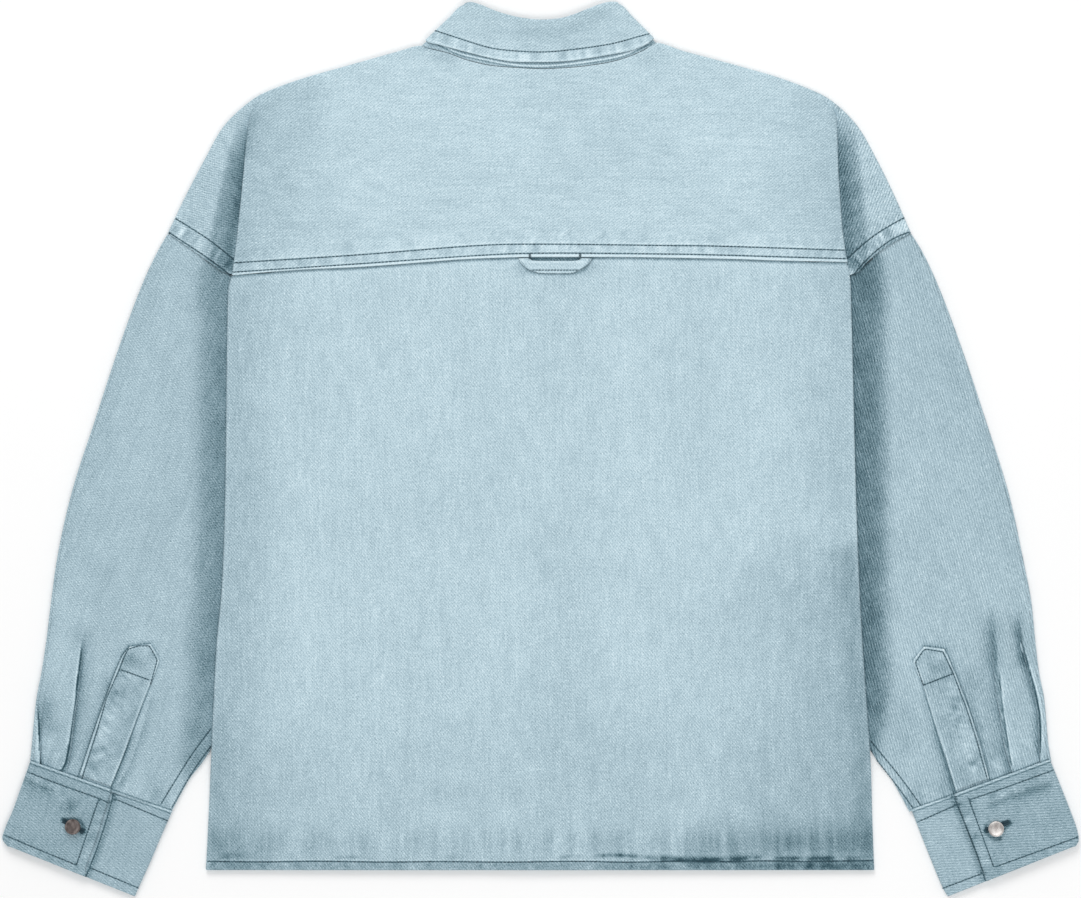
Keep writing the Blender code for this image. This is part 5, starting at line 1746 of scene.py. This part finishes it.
# the cuff's folded top edge, on the lap and on the part under it
cuffColumns = {"lap": range(17, 24), "under": range(0, 7)}
sleeves = {}
for side in sides:
    print("cloth: sleeve", side)
    cuffRowsOf = cuffGrid(side)
    grid, leftOut = sleeveGrid(side)
    sleeve = cloths["sleeve", side] = Cloth(grid, (3.2, 1.9), {-1: 1.5, -2: 1.6, -3: 2.0}, leftOut=leftOut)
    sleeve.grain[:] = warps[f"{side} sleeve"]
    closed, opened = placketLine(side, "closed"), placketLine(side, "open")
    tip = [opened[-2], opened[-1], closed[-1], closed[-2]]
    out = sideSign[side]
    sleeve.sharp = True
    # painted shadow round the placket: along its closed edge, under its tip and beside its open edge
    sleeve.stroke(moved(closed, out * 1.2), 1.3, dye=-0.1)
    sleeve.stroke(moved(closed, out * 3), 4, rise=-0.3, dye=-0.05)
    sleeve.stroke(moved(tip, 0, 1.4), 1.4, dye=-0.16)
    sleeve.stroke(moved(opened[:-3], -out * 1.6), 1.8, dye=-0.22, ends=(0, 24))
    sleeve.stroke(moved(opened[:-3], -out * 4, -2), 5, rise=-0.4, dye=-0.1, ends=(0, 20))
    sleeve.crisp(moved(closed, out * 0.9), dark=-0.22)
    sleeve.crisp(moved(tip[1:3], 0, 1.0), dark=-0.24)
    sleeve.crisp(moved(opened, -out * 0.9), dark=-0.3, ends=(0, 60))
    sleeve.sharp = False
    # painted shade beside the body and below the drop, darker tone elsewhere
    for line, width, dye, power in sleeveShadeAndWash[side].values():
        sleeve.stroke(line, width, dye=dye, power=power)
    for line, width, rise, dye, ends, edge in sleeveCreases[side]:
        sleeve.stroke(line, width, rise=rise, dye=dye, ends=ends, side=edge)
    for line, dark, light in sleeveFolds[side]:
        sleeve.crisp(line, dark=dark, light=light, side=sideSign[side], ends=(24, 0))
    x, y = sleeve.points[..., 0], sleeve.points[..., 1]
    soft = cloudy(x * 0.9 + y * 0.35, (y - x * 0.4) * 0.35, 16, 7) * sleeve.upper
    sleeve.lift += soft * 0.25
    sleeve.dye += soft * 0.012
    for row in underarmRows[side]:
        # painted shade along the underarm seam rows, with a faint painted highlight beside them
        sleeve.stroke(row, 1.6, rise=-0.25, dye=-0.04)
        sleeve.crisp(row, dark=-0.26, light=0.06)
    for columns in cuffColumns.values():
        edge = inwardFrom(cuffRowsOf, columns, -0.4)
        # painted shadow on the sleeve where it goes under the cuff's edge
        sleeve.crisp(edge, dark=-0.3)
        sleeve.pucker(edge, *span(side, 1, 14), 0.35, 4.5, 51, 0.1, dye=0.1)
    sleeves[side] = sleeve.build(f"sleeveCloth_{side}", denims[f"{side} sleeve"],
                                 f"sleeve_{side}", "sleeve_denim")

# The plackets

placketStitch = {
    "left": [(-386.5, -305), (-375.5, -282), (-365, -252), (-359, -230.5), (-350.5, -212), (-345, -192),
             (-344.5, -189.5), (-351.5, -177), (-361, -177), (-370.5, -180), (-374, -186.5),
             (-378.5, -198.5), (-390, -224), (-398, -252), (-412.5, -297.5)],
    "right": [(373, -304), (361.5, -265.5), (351, -234.5), (344.5, -213), (337, -192), (344.5, -181),
              (347, -180), (362, -182.5), (371, -201.5), (382, -230.5), (392.5, -262.5),
              (401.5, -295.5)],
}
placketClosed = {"left": placketStitch["left"][8:], "right": placketStitch["right"][7:]}
placketBox = {"left": placketStitch["left"][4:12], "right": placketStitch["right"][3:9]}
placketCross = {"left": [(-376.9, -198.5), (-351.6, -207.7)], "right": [(344.4, -212.4), (370.8, -202.1)]}
placketDent = {"left": [(-369.8, -190.8), (-359.8, -192.8)], "right": [(352, -196.2), (362, -198.2)]}
plackets = {}
for side in sides:
    placket = cloths["placket", side] = Cloth(placketGrid(side), (1.4, 1.1))
    placket.grain[:] = warps[f"{side} sleeve"]
    placket.sharp = True
    for row in (placketBox[side], placketClosed[side], placketCross[side]):
        # painted shade along the stitch rows
        placket.stroke(row, 1.2, rise=-0.22, dye=-0.05)
        placket.crisp(row, dark=-0.28)
    closed, opened = placketLine(side, "closed"), placketLine(side, "open")
    # painted highlight along the placket's folded edges
    for edge in (closed, opened, [opened[-1], closed[-1]]):
        placket.stroke(edge, 1.7, dye=0.17, power=4)
    placket.sharp = False
    placket.pucker(placketClosed[side][-4:], *span(side, 1.5, 13), 0.4, 6.0, 61, 0.5, dye=0.22)
    placket.stroke(placketCross[side], 5, rise=0.2, dye=0.03)
    placket.stroke(placketDent[side], 6, rise=0.3, dye=-0.1)
    placket.dye += cloudy(placket.points[..., 0], placket.points[..., 1], 6, 64) * 0.07 - 0.07
    plackets[side] = placket.build(f"placketCloth_{side}", denims[f"{side} sleeve"],
                                   f"placket_{side}", "sleeve_denim")

# The cuffs

cuffRows = {
    "left": {
        "top": [(-461, -290.4), (-434.7, -300.7), (-398.5, -313.7), (-388.2, -318.3)],
        "inner top": [(-383, -314.6), (-334.4, -334.8)],
        "bottom": [(-481.6, -347.2), (-450.1, -360.6), (-417.1, -374.1)],
        "inner bottom": [(-406.2, -376.2), (-360.8, -395.2)],
        "lap": [(-396.9, -314.6), (-417.1, -374.1)],
    },
    "right": {
        "top": [(386.1, -315.4), (411.9, -306.6), (460.8, -289)],
        "inner top": [(338.7, -335.8), (377.7, -318.7)],
        "bottom": [(408.9, -375.8), (483.7, -348.8)], "inner bottom": [(361.1, -395.5), (398.4, -381.4)],
        "lap": [(384.9, -313.9), (407.3, -375.2)],
    },
}
lapHeight = 5
lapShade = {"left": 0.08, "right": 0.1}
lapEdge = {"left": [(-385.5, -306.5), (-387, -318), (-398.5, -355), (-410, -384.5)],
           "right": [(373, -312), (382, -334.5), (394.5, -366), (401, -387)]}
# painted shade in the cuff's creases and painted highlights on their small crests
cuffCrease = {
    "left": (
        ([(-467.4, -295.7), (-456.6, -300.7), (-446.7, -305.6), (-435, -310.1)], 2.6, -0.5, -0.2, (3, 8)),
        ([(-464.7, -301.6), (-445.8, -310.6), (-432.3, -316)], 6, -0.3, -0.08, (6, 10)),
        ([(-455.7, -304.3), (-445.8, -308.3)], 1.6, 0.4, 0.12, (3, 4)),
        ([(-444, -307.4), (-436.8, -311)], 1.4, 0.4, 0.12, (2, 4)),
        ([(-434.1, -313.3), (-426.9, -316)], 1.6, 0.3, 0.08, (3, 3)),
        ([(-428.7, -316.9), (-414.3, -323.6)], 6, -0.4, -0.2, (6, 7)),
        ([(-432.3, -321.4), (-425.1, -326.8)], 1.6, -0.3, -0.1, (2, 4)),
    ),
    "right": (
        ([(461.4, -300.7), (441.6, -307.4), (423.6, -313.3), (410.1, -318.7), (398.4, -323.2)],
         3.2, -0.5, -0.18, (4, 8)),
        ([(458.7, -305.2), (438.9, -312.4), (420.9, -318.7)], 6, -0.3, -0.07, (6, 10)),
        ([(411.9, -312.8), (420, -309.2)], 1.6, 0.4, 0.12, (2, 4)),
        ([(404.7, -316.9), (411, -314.2)], 1.4, 0.4, 0.12, (2, 3)),
        ([(402.9, -314.2), (411.9, -309.7)], 2.2, -0.4, -0.12, (3, 4)),
        ([(350.7, -326.8), (370.5, -321.4), (379.5, -328.6)], 4, -0.2, -0.08, (8, 5)),
    ),
}
buttonHole = {"left": [(-429, -333.8), (-410.4, -344.2)], "right": [(400.5, -343), (421.3, -335.2)]}
# painted shadow beside each button and in the buttonhole's opening
buttonShade = {
    "left": ([(-429.2, -332.6), (-423.3, -333.5), (-416.5, -332.6), (-412.1, -336.7), (-410, -342.1),
              (-412.5, -346.1)],),
    "right": ([(400.7, -338.5), (400.7, -344.8), (406.5, -350.2), (413.7, -350.6)],
              [(416.4, -335.8), (422.5, -334.9), (422.7, -338), (417.3, -341.6)]),
}
cuffs = {}
for side in sides:
    print("cloth: cuff", side)
    grid = cuffGrid(side)
    cuff = cloths["cuff", side] = Cloth(grid, (1.5, 1.7), {0: 1.0, -1: 0.9})
    cuff.grain[:] = warps[f"{side} cuff"]
    for row in cuffRows[side].values():
        # painted shade along the stitch rows
        cuff.stroke(row, 1.4, rise=-0.22, dye=-0.03)
        cuff.crisp(row, dark=-0.26)
    for columns in cuffColumns.values():
        # painted highlight on the cuff's folded top edge, with painted shade and a further highlight below it
        cuff.stroke(inwardFrom(grid, columns, 0.7), 1.0, rise=0.1, dye=0.05)
        cuff.crisp(inwardFrom(grid, columns, 2.6), dark=-0.3, light=0.16, side=-sideSign[side])
    cuff.dye[cuff.points[..., 2] > lapHeight] -= lapShade[side]
    cuff.pucker(cuffRows[side]["top"], -10, -1, 0.25, 6, 71, 0.2, dye=0.07)
    cuff.pucker(cuffRows[side]["bottom"], -7, -1, 0.2, 5, 73, 0.2, dye=0.08)
    cuff.pucker(cuffRows[side]["lap"], *span(side, 2, 11), 0.35, 5.5, 75, 0.2, dye=0.16)
    for line, width, rise, dye, ends in cuffCrease[side]:
        cuff.stroke(line, width, rise=rise, dye=dye, ends=ends)
    cuff.stroke(buttonHole[side], 1.9, dye=-0.45, power=4)
    # painted shadow round the button and in the buttonhole's opening
    for line in buttonShade[side]:
        cuff.stroke(line, 1.5, dye=-0.4)
    # painted shadow beside the lap's end edge
    cuff.stroke(moved(lapEdge[side], -sideSign[side] * 3.0, -0.6), 3.0, dye=-0.2)
    cuff.crisp(moved(lapEdge[side], -sideSign[side] * 1.2, -0.3), dark=-0.4)
    cuffs[side] = cuff.build(f"cuffCloth_{side}", denims[f"{side} cuff"],
                             f"cuff_{side}", "cuff_denim", cuffShellWall)

# The collar

print("cloth: collar")
collarRow = [(-95.2, 376.3), (-69.1, 367.8), (-45, 360.6), (-22.5, 357.8), (4.2, 356.9), (31.8, 359.4),
             (63.9, 364.2), (88.1, 370.7), (98.5, 373.5)]
leafLine = [(-101.1, 367.1), (-76.8, 359), (-54.3, 353.2), (-22.8, 348.2), (6.9, 347.3), (28.5, 349.1),
            (62.7, 355), (101.4, 364.9)]
neckLine = [(-99.3, 366.2), (-76.8, 354.1), (-54.3, 348.2), (-22.8, 342.4), (6.9, 341.6), (40.2, 344.9),
            (73.5, 350.9), (96.9, 361.7)]
# what rounds off the corners of the roll, from the leaf's edge over the roll and inside it
rollCorner = {"rows": (11, 23), "shares": (0, 0.33, 0.67, 1, 1, 1, 1, 0.5), "lift": 3.6}
standGrid, fallGrid = collarGrids()
for row in rollCorner["rows"]:
    for column, share in enumerate(rollCorner["shares"]):
        x, y, z = fallGrid[row][column]
        fallGrid[row][column] = (x, y + rollCorner["lift"] * share, z)
stand = Cloth(standGrid, (2.6, 1.4))
stand.dye[:] = -0.1
# painted shadow of the fall's leaf edge on the stand
stand.stroke(leafLine, 2.0, dye=-0.22)
# painted highlight above the neck seam, with painted shade along it
stand.crisp(moved(neckLine, 0, 1.4), dark=-0.24, light=0.32)
standPiece = stand.build("collarStandCloth", denims["collar"], "collar_stand", "collar_denim")
fall = Cloth(fallGrid, (2.2, 1.4))
fall.grain[:] = warps["collar"]
# painted shade along the collar's stitch row
fall.stroke(collarRow, 1.2, rise=-0.2, dye=-0.03)
fall.crisp(collarRow, dark=-0.26, light=0.05)
# painted highlight on the fall's rolled lower edge
fall.stroke(moved(leafLine, 0, 1.2), 1.3, rise=0.1, dye=0.1)
fall.pucker(collarRow, -9, -1, 0.35, 4.4, 81, 0.0, dye=0.17)
fall.stroke([(-63.3, 395), (-18.3, 384.2), (4.2, 384.2), (35.7, 386), (64.5, 395)], 8, dye=-0.02)
fall.stroke([(-18.3, 373.4), (6.9, 371.6)], 9, dye=-0.04)
fall.stroke([(22.2, 373.4), (40.2, 384.2), (59.1, 395)], 7, dye=-0.05)
fallPiece = fall.build("collarFallCloth", denims["collar"], "collar_fall", "collar_denim")
loopRow = [(-7.5, 160.7), (33.9, 160.7)]
loop = Cloth(loopGrid(), (1.0, 1.0))
# painted highlights along the loop's edges and its upper fold
loop.stroke([(-18.3, 170.5), (-12.9, 164.6), (-6.6, 161), (17.7, 160.5), (33.9, 161), (42, 167.8)],
            3.4, rise=0.15, dye=0.08)
loop.stroke([(-9.3, 168), (38.4, 168)], 1.1, rise=0.2, dye=0.12)
# painted shade along the stitch row and at the loop's turned ends
loop.stroke(loopRow, 1.0, rise=-0.2, dye=-0.2)
loop.stroke([(-16.5, 168.2), (-10.2, 160.1), (-5.7, 158.1)], 1.0, dye=-0.2)
loop.stroke([(45.6, 171.8), (41.1, 163.7), (33.9, 158.8)], 1.3, dye=-0.3)
loopPiece = loop.build("lockerLoopCloth", denims["body"], "locker_loop")

# The thread

print("thread")
teal = Finish("teal thread")
ground = teal.node("ShaderNodeValToRGB", toned((30, 58, 70), (72, 104, 116)), {0: teal.attribute("tone")})
teal.set(Base_Color=teal.out(ground), Roughness=0.8)
# the tacks that hold the loop, and the stitches round a buttonhole
barTack = {"across": (-9.4, 35.8), "from": 170.6, "to": 171, "reach": 1.4, "count": 7, "pitch": 0.75,
           "half": 0.3, "proud": 0.15, "tone": 0.2}
holeStitch = {"count": 30, "near": 0.1, "far": 2.4, "half": 0.5, "proud": 0.3, "tone": 0.1}

sewn = {}
sewing = Sewing("yokeStitches", [yokePiece])
for line in yokeSeam.values():
    sewing.row(line, 2)
for seam in armholeSeam.values():
    for line in seam.values():
        sewing.row(line, 3, 3.1)
sewn["yoke"] = sewing.build(teal.material, "body_denim")
sewing = Sewing("hemStitches", [panelPiece])
sewing.row(hemRow, 4, 3.2)
sewn["panel"] = sewing.build(teal.material, "body_denim")
sewing = Sewing("collarStitches", [fallPiece])
sewing.row(collarRow, 5, 2.4)
sewn["fall"] = sewing.build(teal.material, "collar_denim")
sewing = Sewing("loopStitches", [loopPiece, yokePiece])
sewing.row(loopRow, 6, 2.4)
for x in barTack["across"]:
    for k in range(barTack["count"]):
        start = (x - barTack["reach"], barTack["from"] + k * barTack["pitch"])
        end = (x + barTack["reach"], barTack["to"] + k * barTack["pitch"])
        sewing.stitch(start, end, barTack["half"], barTack["proud"], barTack["tone"])
sewn["loop"] = sewing.build(teal.material, "body_denim")
for side in sides:
    sewing = Sewing(f"sleeveStitches_{side}", [sleeves[side], plackets[side]])
    for line in (placketBox[side], placketClosed[side]):
        sewing.row(line, 7, 2.6, sharp=True)
    for line in underarmRows[side]:
        sewing.row(line, 7, 2.6)
    sewing.row(placketCross[side], 8, 2.2)
    sewn["sleeve", side] = sewing.build(teal.material, "sleeve_denim")
    sewing = Sewing(f"cuffStitches_{side}", [cuffs[side]])
    for line in cuffRows[side].values():
        sewing.row(line, 9, 2.7)
    start, end = (np.array(point) for point in buttonHole[side])
    long = math.dist(start, end)
    way = (end - start) / long
    over = np.array([-way[1], way[0]])
    for k in range(holeStitch["count"]):
        at = start + way * (k + 0.5) / holeStitch["count"] * long
        for turned in (-over, over):
            near, far = at + turned * holeStitch["near"], at + turned * holeStitch["far"]
            sewing.stitch(near, far, holeStitch["half"], holeStitch["proud"], holeStitch["tone"])
    sewn["cuff", side] = sewing.build(teal.material, "cuff_denim")

# The size that each piece of cloth was cut to

print("sheets")
fronts = ["frontCloth_left", "frontCloth_right"]
yoke.sheet(fronts, [sewn["yoke"]])
panel.sheet(fronts, [sewn["panel"]])
stand.sheet(fronts)
fall.sheet([standPiece], [sewn["fall"]])
loop.sheet([panelPiece], [sewn["loop"]])
for side in sides:
    cloths["front", side].sheet([])
    cloths["sleeve", side].sheet([], [sewn["sleeve", side]])
    cloths["placket", side].sheet([sleeves[side]])
    cloths["cuff", side].sheet([], [sewn["cuff", side]])

# The buttons

print("buttons")
buttonMetal = {
    "left": ("dark button metal", (84, 77, 76), (132, 123, 120), 0.42),
    "right": ("pale button metal", (170, 164, 161), (206, 203, 200), 0.36),
}
metals = {}
for side, (name, dark, pale, dull) in buttonMetal.items():
    metal = Finish(name)
    spot = metal.node("ShaderNodeTexCoord")
    cut = metal.node("ShaderNodeSeparateXYZ", None, {0: metal.out(spot, "Object")})
    east, north = metal.out(cut, 0) * 1000, metal.out(cut, 1) * 1000
    stain = metal.noise(east, north, (3.4, 5.2), detail=3.0, seed=91)
    brush = metal.noise(east, north, (0.25, 4.0), detail=2.0, seed=94)
    shade = metal.node("ShaderNodeValToRGB", toned(dark, pale), {0: stain * 0.9 + brush * 0.12 + 0.5})
    height = brush * 0.5 + stain * 0.5
    relief = metal.node("ShaderNodeBump", None, {"Height": height, "Strength": 0.12, "Distance": 0.0001})
    rough = dull + brush * 0.12 + stain * 0.1
    metal.set(Base_Color=metal.out(shade), Metallic=1.0, Roughness=rough, Normal=metal.out(relief))
    metals[side] = metal.material

capButton = {
    "sides": 64, "rim": 0.0007, "groove": 0.0004, "grooveDepth": -0.0003, "rounding": 0.0003,
    "domeSteps": ((0.0010, 0.00022), (0.0014, 0.00016), (0.0016, 0.00008)),
}
for side in sides:
    low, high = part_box(f"cuff_button_{side}")
    wide = (high[0] - low[0]) / 2
    dome = sum(rise for _, rise in capButton["domeSteps"]) + capButton["grooveDepth"]
    top = high[2] - max(dome, 0)
    bpy.ops.object.select_all(action="DESELECT")
    place = ((low[0] + high[0]) / 2, (low[1] + high[1]) / 2, (top + low[2]) / 2)
    bpy.ops.mesh.primitive_cylinder_add(vertices=capButton["sides"], radius=wide, depth=top - low[2],
                                        location=place)
    button = bpy.context.object
    button.name = f"cuffButton_{side}"
    bpy.ops.object.mode_set(mode="EDIT")
    bpy.ops.mesh.select_all(action="DESELECT")
    bpy.ops.object.mode_set(mode="OBJECT")
    for face in button.data.polygons:
        face.select = face.normal.z > 0.9
    bpy.ops.object.mode_set(mode="EDIT")
    bpy.ops.mesh.select_mode(type="FACE")
    bpy.ops.mesh.inset(thickness=capButton["rim"], depth=0)
    bpy.ops.mesh.inset(thickness=capButton["groove"], depth=capButton["grooveDepth"])
    for thick, rise in capButton["domeSteps"]:
        bpy.ops.mesh.inset(thickness=thick, depth=rise)
    bpy.ops.object.mode_set(mode="OBJECT")
    bpy.ops.object.transform_apply(location=True, rotation=True, scale=True)
    rounded = button.modifiers.new("rounded", "BEVEL")
    rounded.width = capButton["rounding"]
    rounded.segments = 3
    bpy.ops.object.modifier_apply(modifier=rounded.name)
    bpy.ops.object.shade_smooth()
    button.data.materials.append(metals[side])
    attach(button, "root")
    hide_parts(f"cuff_button_{side}")

for name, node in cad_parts.items():
    if name.startswith("front_button"):
        node.data.materials.clear()
        node.data.materials.append(metals["right"])

# The stage

print("stage")
floorSize = 12
floorDrop = 0.0006
worldLight = 0.62
sensor = 36
bpy.context.scene.view_settings.view_transform = "Standard"
bpy.ops.object.select_all(action="DESELECT")
bpy.ops.mesh.primitive_plane_add(size=floorSize, location=(0, 0, -floorDrop))
floor = bpy.context.object
floor.name = "floor"
pale = Finish("pale floor")
pale.set(Base_Color=(0.99, 0.99, 0.99, 1), Roughness=0.95)
floor.data.materials.append(pale.material)

world = bpy.data.worlds.new("studio")
bpy.context.scene.world = world
world.use_nodes = True
backdrop = world.node_tree.nodes["Background"]
backdrop.inputs["Color"].default_value = (1, 1, 1, 1)
backdrop.inputs["Strength"].default_value = worldLight


def softLight(name, place, size, power):
    bpy.ops.object.light_add(type="AREA", location=place)
    light = bpy.context.object
    light.name = name
    light.data.shape = "DISK"
    light.data.size = size
    light.data.energy = power
    light.rotation_euler = (-Vector(place)).to_track_quat("-Z", "Y").to_euler()


softLight("main light", (-0.6, 2.6, 2.6), 2.2, 50)
softLight("fill light", (0.8, -1.6, 3.0), 2.0, 25)

view = {"distance": 6.0, "width": 972.9, "centre": (0.00015, -0.0001)}
bpy.ops.object.camera_add(location=(view["centre"][0], view["centre"][1], view["distance"]))
camera = bpy.context.object
camera.data.sensor_fit = "HORIZONTAL"
camera.data.sensor_width = sensor
camera.data.lens = sensor * view["distance"] / (view["width"] * mm)
camera.data.clip_end = 50
bpy.context.scene.camera = camera
